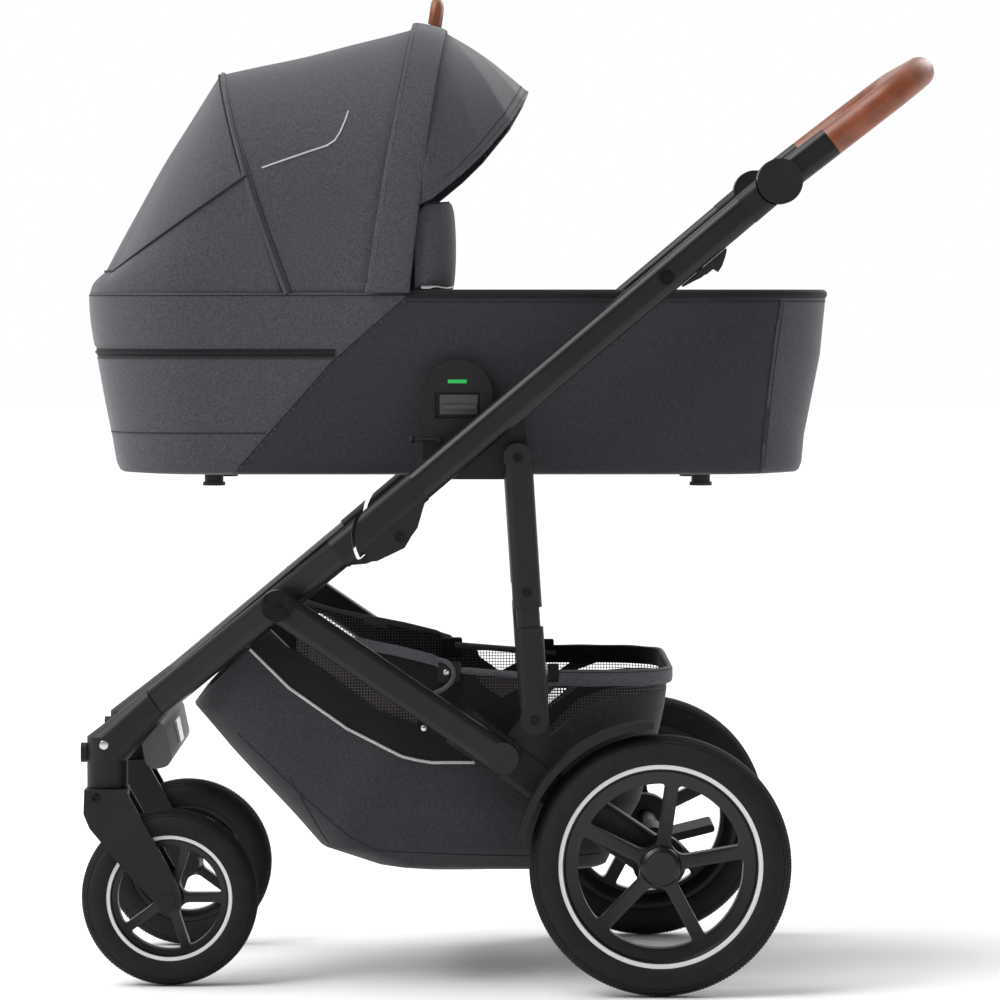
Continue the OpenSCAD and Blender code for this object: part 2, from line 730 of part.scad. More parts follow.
hood_wall = 3;
module canopy() color("#55535a") difference() {
    intersection() {
        arch_along(0, -470, 0);
        plate(-400, 400) hood_side(0);
        translate([0, 0, 700]) linear_extrude(500) cot_plan(-464, 300, cot_half_w + 2, 120);
    }
    intersection() {
        arch_along(-hood_wall, -470, 0);
        plate(-400, 400) hood_side(hood_wall);
        translate([0, 0, 700]) linear_extrude(500)
            cot_plan(-464 + hood_wall, 300, cot_half_w - 1, 120 - hood_wall);
    }
}

// Stiff arch that carries the hood and turns on two pins at the cot's sides
module canopy_hoop() color("#55535a") difference() {
    intersection() {
        arch_along(hoop_out, -300, 200);
        plate(-400, 400) {
            translate(hoop_pivot) circle(hoop_half + 3);
            translate(hoop_pivot) rotate(-hoop_lean)
                translate([-hoop_half, 0]) square([2 * hoop_half, 600]);
        }
    }
    arch_along(hoop_out - hoop_t, -300, 200);
    pin(hoop_pivot, 5 + run_gap, -400, 400);
}

// Peak of the hood, in front of the hoop
module visor() color("#55535a") difference() {
    intersection() {
        arch_along(0, -200, 200);
        plate(-400, 400) visor_side(0);
    }
    intersection() {
        arch_along(-hood_wall, -200, 200);
        plate(-400, 400) visor_side(hood_wall);
    }
}
module visor_side(t) {
    top = hood_top - 5 - t;
    polygon([[hoop_x(873) + 24 - 3 * t, 873 - t], [hoop_x(top) + 24 - 3 * t, top],
             [7, 1018 - t], [24 + t, 1002 - t], [3 + 2 * t, 965 - t], [-28 + 2 * t, 928 - t],
             [-52 + t, 905 - 2 * t], [-69, 889 - 2 * t], [-84, 879 - 2 * t]]);
}

// Leather handle over the top of the hoop, for carrying the cot
carry_span = 64;
carry_rise = 24;
module carry_handle() color("#8e4a2c")
    translate([hoop_x(canopy_top_z) + 4, 0, canopy_top_z + 1]) rotate([0, hoop_lean, 0]) {
        for (y = [-1, 1]) {
            translate([0, y * carry_span, 0]) cylinder(r = 7, h = carry_rise - 14);
            translate([0, y * (carry_span - 14), carry_rise - 14]) rotate([90, 0, 90])
                rotate([0, 0, y > 0 ? 0 : 90]) rotate_extrude(angle = 90)
                    translate([14, 0]) circle(7);
        }
        translate([0, -carry_span + 14, carry_rise]) rotate([-90, 0, 0])
            cylinder(r = 7, h = 2 * (carry_span - 14));
    }

// Arched mouldings on the cot's sides with a tongue for the chassis and a hook
module cot_adapters() color("#17171a") both_sides() {
    difference() {
        plate(adapter_in, adapter_out) {
            translate([adapter_x, 661]) circle(adapter_half);
            translate([adapter_x - adapter_half, 588]) square([2 * adapter_half, 73]);
        }
        plate(adapter_out - 5, adapter_out + 1) translate([-79.6, 634.9]) square([49.7, 29.4]);
        plate(adapter_out - 5, adapter_out - 1.5) translate([-76.5, 664]) square([47, 9]);
    }
    plate(adapter_out, tongue_out) translate([-58, shelf_z + 0.3]) square([42, 26]);
    translate([-105, adapter_out + 2.3, 611.5]) rotate([0, 90, 0]) cylinder(r = 2.2, h = 30);
    translate([-105, adapter_out + 2.3, 611.5]) sphere(r = 4);
    translate([-76, adapter_out - 1, 611.5]) rotate([-90, 0, 0]) cylinder(r = 3.4, h = 6);
}

module release_lever(side) color("#3a3a3d") one_side(side) {
    plate(adapter_out - 4.6, adapter_out - 2) translate([-74, 639.3]) square([41.9, 21.7]);
    plate(adapter_out - 2, adapter_out + 2.5) translate([-72, 645.5]) square([38, 4.4]);
}
module release_lever_left() release_lever(-1);
module release_lever_right() release_lever(1);

module cot_feet() color("#1b1b1d") for (x = [-327.4, 217.6], y = [-150, 150]) {
    translate([x, y, cot_floor_z - 9]) cylinder(r = 10.5, h = 9 - seat_gap);
    translate([x, y, cot_floor_z - 13]) cylinder(r = 12.5, h = 4);
}

front_leg_left();
front_leg_right();
fold_sockets();
caster_housing_left();
caster_housing_right();
front_cross_brace();
front_reflector();
leg_hinge_pins();
fold_hinge_bolts();
basket();
basket_rim();
handle_tube_left();
handle_tube_right();
fold_knuckles();
cot_receptacles();
tilt_hubs();
trigger_pins();
handlebar_frame();
leather_grip();
hub_caps();
handle_button();
fold_trigger_left();
fold_trigger_right();
rear_leg_left();
rear_leg_right();
rear_housing_left();
rear_housing_right();
fenders();
rear_axle();
brake_pedal();
strut_tubes();
strut_sleeves();
strut_bolts();
fork_left();
fork_right();
swivel_lock_left();
swivel_lock_right();
front_rim_left();
front_rim_right();
front_tyre_left();
front_tyre_right();
rear_rim_left();
rear_rim_right();
rear_tyre_left();
rear_tyre_right();
hub_cover_left();
hub_cover_right();
cot_shell();
cot_rim();
mattress();
apron();
wind_guard();
canopy();
cot_adapters();
cot_feet();
canopy_hoop();
carry_handle();
visor();
release_lever_left();
release_lever_right();
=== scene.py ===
import math

import bpy
from mathutils import Matrix, Vector


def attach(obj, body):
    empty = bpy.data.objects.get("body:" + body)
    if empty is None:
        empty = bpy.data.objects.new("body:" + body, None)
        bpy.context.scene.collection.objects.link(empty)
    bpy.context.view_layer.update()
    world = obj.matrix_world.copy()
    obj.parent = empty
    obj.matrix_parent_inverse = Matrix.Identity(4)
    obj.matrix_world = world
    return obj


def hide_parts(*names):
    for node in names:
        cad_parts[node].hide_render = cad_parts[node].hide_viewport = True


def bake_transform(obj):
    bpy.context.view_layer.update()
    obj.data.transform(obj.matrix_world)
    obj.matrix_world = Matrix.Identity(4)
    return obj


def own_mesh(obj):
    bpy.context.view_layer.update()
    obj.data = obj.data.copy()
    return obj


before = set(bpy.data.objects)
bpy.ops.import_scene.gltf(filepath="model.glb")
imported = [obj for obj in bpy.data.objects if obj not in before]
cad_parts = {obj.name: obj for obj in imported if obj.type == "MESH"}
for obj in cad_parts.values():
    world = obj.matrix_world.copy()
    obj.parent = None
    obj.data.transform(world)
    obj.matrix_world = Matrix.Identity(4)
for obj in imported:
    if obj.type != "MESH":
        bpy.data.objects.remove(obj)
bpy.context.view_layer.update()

# ---------------------------------------------------------------------------
# Studio: a pale floor, soft light from above and both sides, and a camera a
# little under 6 m away that looks squarely at the stroller's left side.
# ---------------------------------------------------------------------------
MM = 0.001
SIDES = (("left", -1), ("right", 1))


def srgb(code):
    """The linear colour of an sRGB hex code."""
    parts = [int(code[i:i + 2], 16) / 255 for i in (1, 3, 5)]
    return [c / 12.92 if c <= 0.04045 else ((c + 0.055) / 1.055) ** 2.4 for c in parts] + [1.0]


def add_node(tree, kind, settings=None, inputs=None):
    """A new node with its settings; an input is given a value or the socket that feeds it."""
    new = tree.nodes.new("ShaderNode" + kind)
    for key, value in (settings or {}).items():
        setattr(new, key, value)
    for key, value in (inputs or {}).items():
        if isinstance(value, bpy.types.NodeSocket):
            tree.links.new(value, new.inputs[key])
        else:
            new.inputs[key].default_value = value
    return new


def finish(name, colour, roughness, **sockets):
    """A material and its shader node, with the constant values set on the shader's sockets."""
    mat = bpy.data.materials.new(name)
    mat.use_nodes = True
    shader = mat.node_tree.nodes["Principled BSDF"]
    shader.inputs["Base Color"].default_value = srgb(colour)
    shader.inputs["Roughness"].default_value = roughness
    for key, value in sockets.items():
        shader.inputs[key.replace("_", " ")].default_value = value
    return mat, shader


def nothing_selected():
    bpy.ops.object.select_all(action="DESELECT")
    bpy.context.view_layer.objects.active = None


nothing_selected()
floor_finish, _ = finish("painted_studio_floor", "#f6f6f6", 0.9)
bpy.ops.mesh.primitive_plane_add(size=60, location=(0, 0, 0))
floor = bpy.context.object
floor.name = "studio_floor"
floor.data.materials.append(floor_finish)

world = bpy.data.worlds.new("soft_white_room")
world.use_nodes = True
backdrop = world.node_tree.nodes["Background"]
# The room is white behind and above the stroller and dim on the viewer's side
facing = add_node(world.node_tree, "SeparateXYZ", {}, {
    "Vector": add_node(world.node_tree, "TexCoord").outputs["Generated"]})
walls = add_node(world.node_tree, "ValToRGB", {}, {"Fac": add_node(
    world.node_tree, "MapRange", {}, {"Value": facing.outputs["Y"], "From Min": -1.0,
                                      "From Max": 1.0}).outputs["Result"]})
walls.color_ramp.elements[0].position = 0.42
walls.color_ramp.elements[0].color = (0.16, 0.16, 0.165, 1.0)
walls.color_ramp.elements[1].position = 0.62
walls.color_ramp.elements[1].color = (1.0, 1.0, 1.0, 1.0)
world.node_tree.links.new(walls.outputs["Color"], backdrop.inputs["Color"])
backdrop.inputs["Strength"].default_value = 1.0
bpy.context.scene.world = world
bpy.context.scene.view_settings.view_transform = "Standard"

# A broad sun-like lamp keeps the floor evenly white out to the horizon
sun = bpy.data.lights.new("ceiling_light", "SUN")
sun.energy = 2.4
sun.angle = math.radians(40)
sun_holder = bpy.data.objects.new("ceiling_light", sun)
bpy.context.scene.collection.objects.link(sun_holder)
sun_holder.rotation_euler = Vector((0.55, 0.12, -1.0)).to_track_quat("-Z", "Y").to_euler()

LAMPS = {
    "key_softbox": ((-3.2, -2.6, 3.4), 2.0, 95),
    "fill_softbox": ((3.2, -4.0, 1.8), 2.4, 18),
    "rim_softbox": ((2.2, 3.4, 3.0), 2.0, 50),
}
for name, (place, size, watts) in LAMPS.items():
    lamp = bpy.data.lights.new(name, "AREA")
    lamp.size = size
    lamp.energy = watts
    holder = bpy.data.objects.new(name, lamp)
    bpy.context.scene.collection.objects.link(holder)
    holder.location = place
    aim = Vector((0, 0, 0.55)) - Vector(place)
    holder.rotation_euler = aim.to_track_quat("-Z", "Y").to_euler()

camera_data = bpy.data.cameras.new("side_camera")
camera_data.lens = 186.26
camera_data.sensor_width = 36
camera_data.clip_end = 60
camera = bpy.data.objects.new("side_camera", camera_data)
bpy.context.scene.collection.objects.link(camera)
camera.location = (-0.0244, -5.942, 0.768)
camera.rotation_euler = (math.radians(90 - 2.24), 0, math.radians(-0.17))
bpy.context.scene.camera = camera

# ---------------------------------------------------------------------------
# Frame tubes: drawn aluminium with a satin black powder coat, baked on. They
# come from the CAD as they are, and only get their finish here.
# ---------------------------------------------------------------------------


def surface_grain(mat, shader, size_mm, height_mm, strength, detail=3.0):
    """Bump from noise whose grains are size_mm across."""
    tree = mat.node_tree
    where = add_node(tree, "TexCoord").outputs["Object"]
    noise = add_node(tree, "TexNoise", {}, {
        "Vector": where, "Scale": 1 / (size_mm * MM), "Detail": detail})
    bump = add_node(tree, "Bump", {}, {
        "Height": noise.outputs["Fac"], "Distance": height_mm * MM, "Strength": strength})
    tree.links.new(bump.outputs["Normal"], shader.inputs["Normal"])
    return where, noise


def tone(mat, shader, where, dark, light, size_mm, contrast=0.5):
    """Base colour that wanders between two tones over patches of size_mm."""
    tree = mat.node_tree
    noise = add_node(tree, "TexNoise", {}, {
        "Vector": where, "Scale": 1 / (size_mm * MM), "Detail": 4.0})
    ramp = add_node(tree, "ValToRGB", {}, {"Fac": noise.outputs["Fac"]})
    ramp.color_ramp.elements[0].position = 0.5 - contrast / 2
    ramp.color_ramp.elements[1].position = 0.5 + contrast / 2
    ramp.color_ramp.elements[0].color = srgb(dark)
    ramp.color_ramp.elements[1].color = srgb(light)
    tree.links.new(ramp.outputs["Color"], shader.inputs["Base Color"])
    return ramp


def dress(mat, *nodes):
    """Gives CAD nodes a finish."""
    for name in nodes:
        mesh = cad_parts[name].data
        mesh.materials.clear()
        mesh.materials.append(mat)


# Powder coat on aluminium: satin, with a faint orange peel about 1.5 mm across
powder_coat, coat_shader = finish("powder_coated_aluminium_satin_black", "#131314", 0.36,
                                  IOR=1.5, Specular_IOR_Level=0.32)
coat_where, _ = surface_grain(powder_coat, coat_shader, 1.5, 0.05, 0.35)
tone(powder_coat, coat_shader, coat_where, "#111112", "#171718", 60)
dress(powder_coat, "front_leg_left", "front_leg_right", "handle_tube_left",
      "handle_tube_right", "rear_leg_left", "rear_leg_right", "strut_tubes",
      "handlebar_frame")

# ---------------------------------------------------------------------------
# Mouldings: glass-filled nylon, matt black, from spark-eroded moulds. Fold
# joints, housings, hubs, sleeves, mudguards and forks are all made of it.
# ---------------------------------------------------------------------------
# Spark-eroded texture is 0.2 mm across; it is drawn at 0.9 mm to show
nylon, nylon_shader = finish("glass_filled_nylon_matt_black", "#111112", 0.5, IOR=1.53,
                             Specular_IOR_Level=0.28)
nylon_where, _ = surface_grain(nylon, nylon_shader, 0.9, 0.06, 0.5)
tone(nylon, nylon_shader, nylon_where, "#0f0f10", "#151516", 25)
dress(nylon, "fold_sockets", "caster_housing_left", "caster_housing_right", "fold_knuckles",
      "cot_receptacles", "tilt_hubs", "hub_caps", "rear_housing_left", "rear_housing_right",
      "fenders", "strut_sleeves", "fork_left", "fork_right", "brake_pedal",
      "swivel_lock_left", "swivel_lock_right", "fold_trigger_left", "fold_trigger_right",
      "handle_button")

# Grey nylon of the cross brace, the same moulding in a lighter colour
grey_nylon, grey_shader = finish("glass_filled_nylon_grey", "#4a4a4d", 0.5, IOR=1.53)
surface_grain(grey_nylon, grey_shader, 0.9, 0.06, 0.5)
dress(grey_nylon, "front_cross_brace")

# Blackened steel of bolts, pins and the rear axle: smooth, a little worn
black_steel, steel_shader = finish("blackened_steel", "#232325", 0.36, Metallic=1.0)
steel_where, _ = surface_grain(black_steel, steel_shader, 2.0, 0.03, 0.3)
tone(black_steel, steel_shader, steel_where, "#1c1c1e", "#2b2b2d", 6)
dress(black_steel, "leg_hinge_pins", "fold_hinge_bolts", "strut_bolts", "trigger_pins",
      "rear_axle")

# Prismatic reflector: clear acrylic over silver, glossy
reflector_finish, _ = finish("acrylic_reflector", "#dcdcdc", 0.15, IOR=1.49)
dress(reflector_finish, "front_reflector")

# ---------------------------------------------------------------------------
# Wheels: rims of black nylon, each spun to its section and pierced by five
# windows, with a silver ring round the bead and a foam-filled rubber tyre
# whose shoulders carry rows of small blocks.
# ---------------------------------------------------------------------------


def keep(piece, name, mat):
    """Names a new piece, gives it its finish and leaves nothing selected."""
    piece.name = name
    piece.data.name = name
    piece.data.materials.clear()
    piece.data.materials.append(mat)
    nothing_selected()
    return piece


def select_only(piece):
    nothing_selected()
    piece.select_set(True)
    bpy.context.view_layer.objects.active = piece


def apply_modifier(piece, kind, **settings):
    select_only(piece)
    modifier = piece.modifiers.new(kind.lower(), kind)
    for key, value in settings.items():
        setattr(modifier, key, value)
    bpy.ops.object.modifier_apply(modifier=modifier.name)


def outline_mesh(points):
    """A closed line through the points (mm), as the active object."""
    nothing_selected()
    bpy.ops.mesh.primitive_circle_add(vertices=len(points), radius=1)
    line = bpy.context.object
    for vertex, point in zip(line.data.vertices, points):
        vertex.co = Vector(point) * MM
    return line


def spun_ring(profile, steps):
    """A closed profile of (radius, y) points in mm, spun all the way round the Y axis."""
    ring = outline_mesh([(r, y, 0) for r, y in profile])
    bpy.ops.object.mode_set(mode="EDIT")
    bpy.ops.mesh.select_all(action="SELECT")
    bpy.ops.mesh.spin(steps=steps, angle=2 * math.pi, center=(0, 0, 0), axis=(0, 1, 0))
    bpy.ops.mesh.select_all(action="SELECT")
    bpy.ops.mesh.remove_doubles(threshold=0.01 * MM)
    bpy.ops.mesh.normals_make_consistent(inside=False)
    bpy.ops.object.mode_set(mode="OBJECT")
    return ring


def rounded(points, radius, steps=5):
    """The corners of an (x, z) outline rounded to a radius."""
    smooth = []
    for i, corner in enumerate(points):
        here = Vector(corner)
        back = (Vector(points[i - 1]) - here)
        ahead = (Vector(points[(i + 1) % len(points)]) - here)
        reach = min(radius, back.length * 0.45, ahead.length * 0.45)
        start = here + back.normalized() * reach
        end = here + ahead.normalized() * reach
        for k in range(steps + 1):
            t = k / steps
            smooth.append((1 - t) ** 2 * start + 2 * t * (1 - t) * here + t ** 2 * end)
    return smooth


def window_outline(middle_deg, inner_r, outer_r, half_spoke):
    """The outline of one window between two spokes 72 degrees apart."""
    corners = []
    for r, side in ((inner_r, -1), (outer_r, -1), (outer_r, 1), (inner_r, 1)):
        half = math.radians(36) - math.asin(half_spoke / r)
        if r == outer_r and side == -1:
            for k in range(9):
                a = math.radians(middle_deg) + half * (k / 4 - 1)
                corners.append((r * math.cos(a), r * math.sin(a)))
        elif r == inner_r:
            a = math.radians(middle_deg) + side * half
            corners.append((r * math.cos(a), r * math.sin(a)))
    return corners


def pierced_rim(profile, first_deg, inner_r, outer_r, half_spoke, corner_r, bevel):
    """A spun rim with five windows cut through its web and softened edges."""
    rim = spun_ring(profile, 120)
    cutters = []
    for k in range(5):
        flat = window_outline(first_deg + 36 + 72 * k, inner_r, outer_r, half_spoke)
        cutter = outline_mesh([(p[0], -60, p[1]) for p in rounded(flat, corner_r)])
        bpy.ops.object.mode_set(mode="EDIT")
        bpy.ops.mesh.select_all(action="SELECT")
        bpy.ops.mesh.edge_face_add()
        bpy.ops.mesh.extrude_region_move(TRANSFORM_OT_translate={"value": (0, 120 * MM, 0)})
        bpy.ops.mesh.select_all(action="SELECT")
        bpy.ops.mesh.normals_make_consistent(inside=False)
        bpy.ops.object.mode_set(mode="OBJECT")
        cutters.append(cutter)
    for cutter in cutters:
        apply_modifier(rim, "BOOLEAN", object=cutter, operation="DIFFERENCE", solver="EXACT")
        bpy.data.objects.remove(cutter)
    apply_modifier(rim, "BEVEL", width=bevel * MM, segments=3, limit_method="ANGLE",
                   angle_limit=math.radians(32), harden_normals=False)
    select_only(rim)
    bpy.ops.object.shade_smooth_by_angle(angle=math.radians(40))
    return rim


def tread_tyre(outer_r, width, bead_r, around, block_mm):
    """A round-section tyre with checkered blocks standing up from its shoulders."""
    nothing_selected()
    half = width / 2
    bpy.ops.mesh.primitive_torus_add(
        major_segments=around, minor_segments=28, major_radius=(outer_r - block_mm - half) * MM,
        minor_radius=half * MM, rotation=(math.pi / 2, 0, 0))
    tyre = bpy.context.object
    bpy.ops.object.transform_apply(location=True, rotation=True, scale=True)
    for vertex in tyre.data.vertices:
        r = math.hypot(vertex.co.x, vertex.co.z)
        if r < bead_r * MM:
            vertex.co.x *= bead_r * MM / r
            vertex.co.z *= bead_r * MM / r
    for face in tyre.data.polygons:
        c = face.center
        r = math.hypot(c.x, c.z) / MM
        turn = int(round((math.atan2(c.z, c.x) / (2 * math.pi) * around) - 0.5))
        row = int(round(math.atan2(c.y / MM, r - (outer_r - block_mm - half)) / (2 * math.pi) * 28 - 0.5))
        face.select = r > outer_r - half * 0.5 and (turn + row) % 2 == 0 and row not in (0, -1)
    for edge in tyre.data.edges:
        edge.select = False
    for vertex in tyre.data.vertices:
        vertex.select = False
    bpy.ops.object.mode_set(mode="EDIT")
    bpy.ops.mesh.select_mode(type="FACE")
    bpy.ops.mesh.inset(thickness=0.5 * MM, use_individual=True)
    bpy.ops.mesh.extrude_faces_move(TRANSFORM_OT_shrink_fatten={"value": block_mm * MM})
    bpy.ops.mesh.select_mode(type="VERT")
    bpy.ops.object.mode_set(mode="OBJECT")
    bpy.ops.object.shade_smooth_by_angle(angle=math.radians(35))
    return tyre


def placed_copy(piece, name, move, turn_deg=0.0):
    """A copy with its own mesh, turned about Z and then moved (mm)."""
    copy = piece.copy()
    copy.data = piece.data.copy()
    copy.name = name
    copy.data.name = name
    bpy.context.scene.collection.objects.link(copy)
    copy.data.transform(Matrix.Translation(Vector(move) * MM)
                        @ Matrix.Rotation(math.radians(turn_deg), 4, "Z"))
    return copy


# Tyre rubber: matt, dusty black, with a skin grain drawn at 1.2 mm
rubber, rubber_shader = finish("moulded_tyre_rubber", "#131314", 0.72, IOR=1.52,
                               Specular_IOR_Level=0.25)
rubber_where, _ = surface_grain(rubber, rubber_shader, 1.2, 0.08, 0.5)
tone(rubber, rubber_shader, rubber_where, "#111112", "#191919", 18)
# Rim nylon: the same black nylon with a smoother, slightly shinier skin
rim_nylon, rim_shader = finish("moulded_rim_nylon_satin_black", "#0f0f10", 0.36, IOR=1.53,
                               Specular_IOR_Level=0.35)
surface_grain(rim_nylon, rim_shader, 1.0, 0.03, 0.4)
# Silver ring: matt silver lacquer
silver, silver_shader = finish("silver_lacquer_matt", "#d9d9d9", 0.42, Metallic=0.15)
surface_grain(silver, silver_shader, 2.0, 0.02, 0.3)

WHEELS = {
    "front": {
        "at": (-375.8, 182.0, 99.3), "outer": 99.3, "width": 40, "bead": 70.2, "around": 168,
        "profile": [(5.1, -18.5), (13, -18.5), (14.5, -17), (16, -10.5), (56, -10.5), (61, -12),
                    (64, -12.5), (65, -15.5), (70, -15.5), (70, 15.5), (65, 15.5), (63, 10),
                    (58, 6), (17, 6), (14.5, 18.5), (5.1, 18.5)],
        "windows": (0, 18, 58, 5.2, 8), "ring": (65.9, 70.9, 15.4, 17.2), "bevel": 1.5,
        "body": "front_wheel"},
    "rear": {
        "at": (168.5, 277.0, 145.0), "outer": 145, "width": 48, "bead": 112.2, "around": 216,
        "profile": [(8.1, -20.9), (17, -20.9), (21, -18), (23, -13), (88, -13), (96, -15),
                    (104, -15.5), (106, -19), (112, -19), (112, 19), (106, 19), (101, 12),
                    (95, 7), (25, 7), (21, 20.9), (8.1, 20.9)],
        "windows": (82, 25, 91, 7.4, 12), "ring": (107.2, 113.0, 18.9, 20.9), "bevel": 2.2,
        "body": "rear_wheel"},
}
for end, w in WHEELS.items():
    first, inner_r, outer_r, half_spoke, corner = w["windows"]
    rim_model = pierced_rim(w["profile"], first, inner_r, outer_r, half_spoke, corner, w["bevel"])
    tyre_model = tread_tyre(w["outer"], w["width"], w["bead"], w["around"], 0.8)
    r0, r1, y0, y1 = w["ring"]
    ring_model = spun_ring([(r0, -y0), (r0 + 0.6, -y1), (r1 - 0.6, -y1), (r1, -y0)], 144)
    select_only(ring_model)
    bpy.ops.object.shade_smooth_by_angle(angle=math.radians(50))
    for side_name, side, turn in (("left", -1, 0), ("right", 1, 180)):
        x, y, z = w["at"]
        for model, part, mat, slot in (
                (rim_model, "rim", rim_nylon, "rim_plastic"),
                (tyre_model, "tyre", rubber, "tyre"),
                (ring_model, "bead_ring", silver, "rim_plastic")):
            piece = placed_copy(model, f"{end}_{part}_{side_name}_made", (x, side * y, z), turn)
            piece.data.materials.clear()
            piece.data.materials.append(mat)
            if part != "bead_ring":
                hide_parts(f"{end}_{part}_{side_name}")
            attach(piece, f"{w['body']}_{side_name}")
    for model in (rim_model, tyre_model, ring_model):
        bpy.data.objects.remove(model)
dress(rim_nylon, "hub_cover_left", "hub_cover_right")

# ---------------------------------------------------------------------------
# Leather: vegetable-tanned tan leather round the handlebar and the carry
# handle, with a fine pebble grain and a tone that wanders in patches.
# ---------------------------------------------------------------------------
leather, leather_shader = finish("tanned_leather_smooth", "#7a3f26", 0.4, IOR=1.48)
leather_tree = leather.node_tree
leather_where = add_node(leather_tree, "TexCoord").outputs["Object"]
# Pebble grain is 0.8 mm across; it is drawn at 1.6 mm to show
pebbles = add_node(leather_tree, "TexVoronoi", {"feature": "DISTANCE_TO_EDGE"}, {
    "Vector": leather_where, "Scale": 1 / (1.6 * MM)})
leather_bump = add_node(leather_tree, "Bump", {}, {
    "Height": pebbles.outputs["Distance"], "Distance": 0.15 * MM, "Strength": 0.35})
leather_tree.links.new(leather_bump.outputs["Normal"], leather_shader.inputs["Normal"])
tone(leather, leather_shader, leather_where, "#6a331d", "#8a4a2c", 22)
dress(leather, "leather_grip", "carry_handle")

# ---------------------------------------------------------------------------
# Carrycot controls and mouldings: black nylon adapters with grey levers.
# ---------------------------------------------------------------------------
dress(nylon, "cot_adapters", "cot_feet")
lever_grey, lever_shader = finish("moulded_abs_dark_grey", "#3d3d40", 0.45, IOR=1.53)
surface_grain(lever_grey, lever_shader, 1.0, 0.04, 0.4)
dress(lever_grey, "release_lever_left", "release_lever_right")

# ---------------------------------------------------------------------------
# Carrycot body: a stiff shell in a tailored cover of charcoal melange twill.
# The head end has a padded band and a zipped pocket that end on a diagonal
# seam; the foot end has a sewn-in end panel. The cover is one closed skin.
# ---------------------------------------------------------------------------


def cloth_finish(name, dark, light, thread_mm, sheen, roughness, dapple_mm=2.2):
    """Woven cloth: crossed threads for the bump, and a melange of two tones."""
    mat, shader = finish(name, light, roughness, Sheen_Weight=sheen, Sheen_Roughness=0.5,
                         Specular_IOR_Level=0.2)
    tree = mat.node_tree
    where = add_node(tree, "TexCoord").outputs["Object"]
    weave = []
    for direction in ("X", "Z"):
        wave = add_node(tree, "TexWave", {"bands_direction": direction}, {
            "Vector": where, "Scale": 1 / (thread_mm * MM * 3.2), "Distortion": 1.5,
            "Detail": 2.0, "Detail Scale": 2.0})
        weave.append(wave.outputs["Fac"])
    cross = add_node(tree, "Math", {"operation": "MULTIPLY"})
    tree.links.new(weave[0], cross.inputs[0])
    tree.links.new(weave[1], cross.inputs[1])
    slub = add_node(tree, "TexNoise", {}, {
        "Vector": where, "Scale": 1 / (thread_mm * MM), "Detail": 3.0})
    height = add_node(tree, "Math", {"operation": "ADD"})
    tree.links.new(cross.outputs["Value"], height.inputs[0])
    tree.links.new(slub.outputs["Fac"], height.inputs[1])
    bump = add_node(tree, "Bump", {}, {
        "Height": height.outputs["Value"], "Distance": 0.25 * MM, "Strength": 0.45})
    tree.links.new(bump.outputs["Normal"], shader.inputs["Normal"])
    tone(mat, shader, where, dark, light, dapple_mm, 0.35)
    return mat


def grid_piece(name, across, along, place, mat, joined=False):
    """A sheet of across by along faces, each corner put at place(u, v) in mm."""
    nothing_selected()
    bpy.ops.mesh.primitive_grid_add(x_subdivisions=across, y_subdivisions=along, size=2)
    piece = bpy.context.object
    for vertex in piece.data.vertices:
        u, v = (vertex.co.x + 1) / 2, (vertex.co.y + 1) / 2
        vertex.co = Vector(place(u, v)) * MM
    if joined:
        bpy.ops.object.mode_set(mode="EDIT")
        bpy.ops.mesh.select_all(action="SELECT")
        bpy.ops.mesh.remove_doubles(threshold=0.02 * MM)
        bpy.ops.object.mode_set(mode="OBJECT")
    bpy.ops.object.shade_smooth()
    return keep(piece, name, mat)


def face_out(piece):
    select_only(piece)
    bpy.ops.object.mode_set(mode="EDIT")
    bpy.ops.mesh.select_all(action="SELECT")
    bpy.ops.mesh.normals_make_consistent(inside=False)
    bpy.ops.object.mode_set(mode="OBJECT")
    nothing_selected()


def close_ends(piece):
    """Faces over the two open ends of a rolled grid, and all normals outwards."""
    select_only(piece)
    bpy.ops.object.mode_set(mode="EDIT")
    bpy.ops.mesh.select_all(action="DESELECT")
    bpy.ops.mesh.select_mode(type="EDGE")
    bpy.ops.mesh.select_non_manifold()
    bpy.ops.mesh.edge_face_add()
    bpy.ops.mesh.select_mode(type="VERT")
    bpy.ops.object.mode_set(mode="OBJECT")
    face_out(piece)


def lobed(turn, power):
    """A sine or cosine raised to a power with its sign kept, for boxy rounded sections."""
    return math.copysign(abs(turn) ** power, turn)


def block(name, centre, size, rounding, segments, mat):
    """A small box with rounded edges, its centre and size in mm."""
    nothing_selected()
    bpy.ops.mesh.primitive_cube_add(size=1, location=[c * MM for c in centre],
                                    scale=[c * MM for c in size])
    piece = bpy.context.object
    bpy.ops.object.transform_apply(location=True, rotation=True, scale=True)
    apply_modifier(piece, "BEVEL", width=rounding * MM, segments=segments)
    return keep(piece, name, mat)


def along_points(points, x):
    """Height of a broken line of (x, z) points at x."""
    if x <= points[0][0]:
        return points[0][1]
    for (x0, z0), (x1, z1) in zip(points, points[1:]):
        if x <= x1:
            t = (x - x0) / (x1 - x0)
            return z0 + (z1 - z0) * t
    return points[-1][1]


def ease(t):
    """0 below 0, 1 above 1, and smooth between."""
    t = min(1.0, max(0.0, t))
    return t * t * (3 - 2 * t)


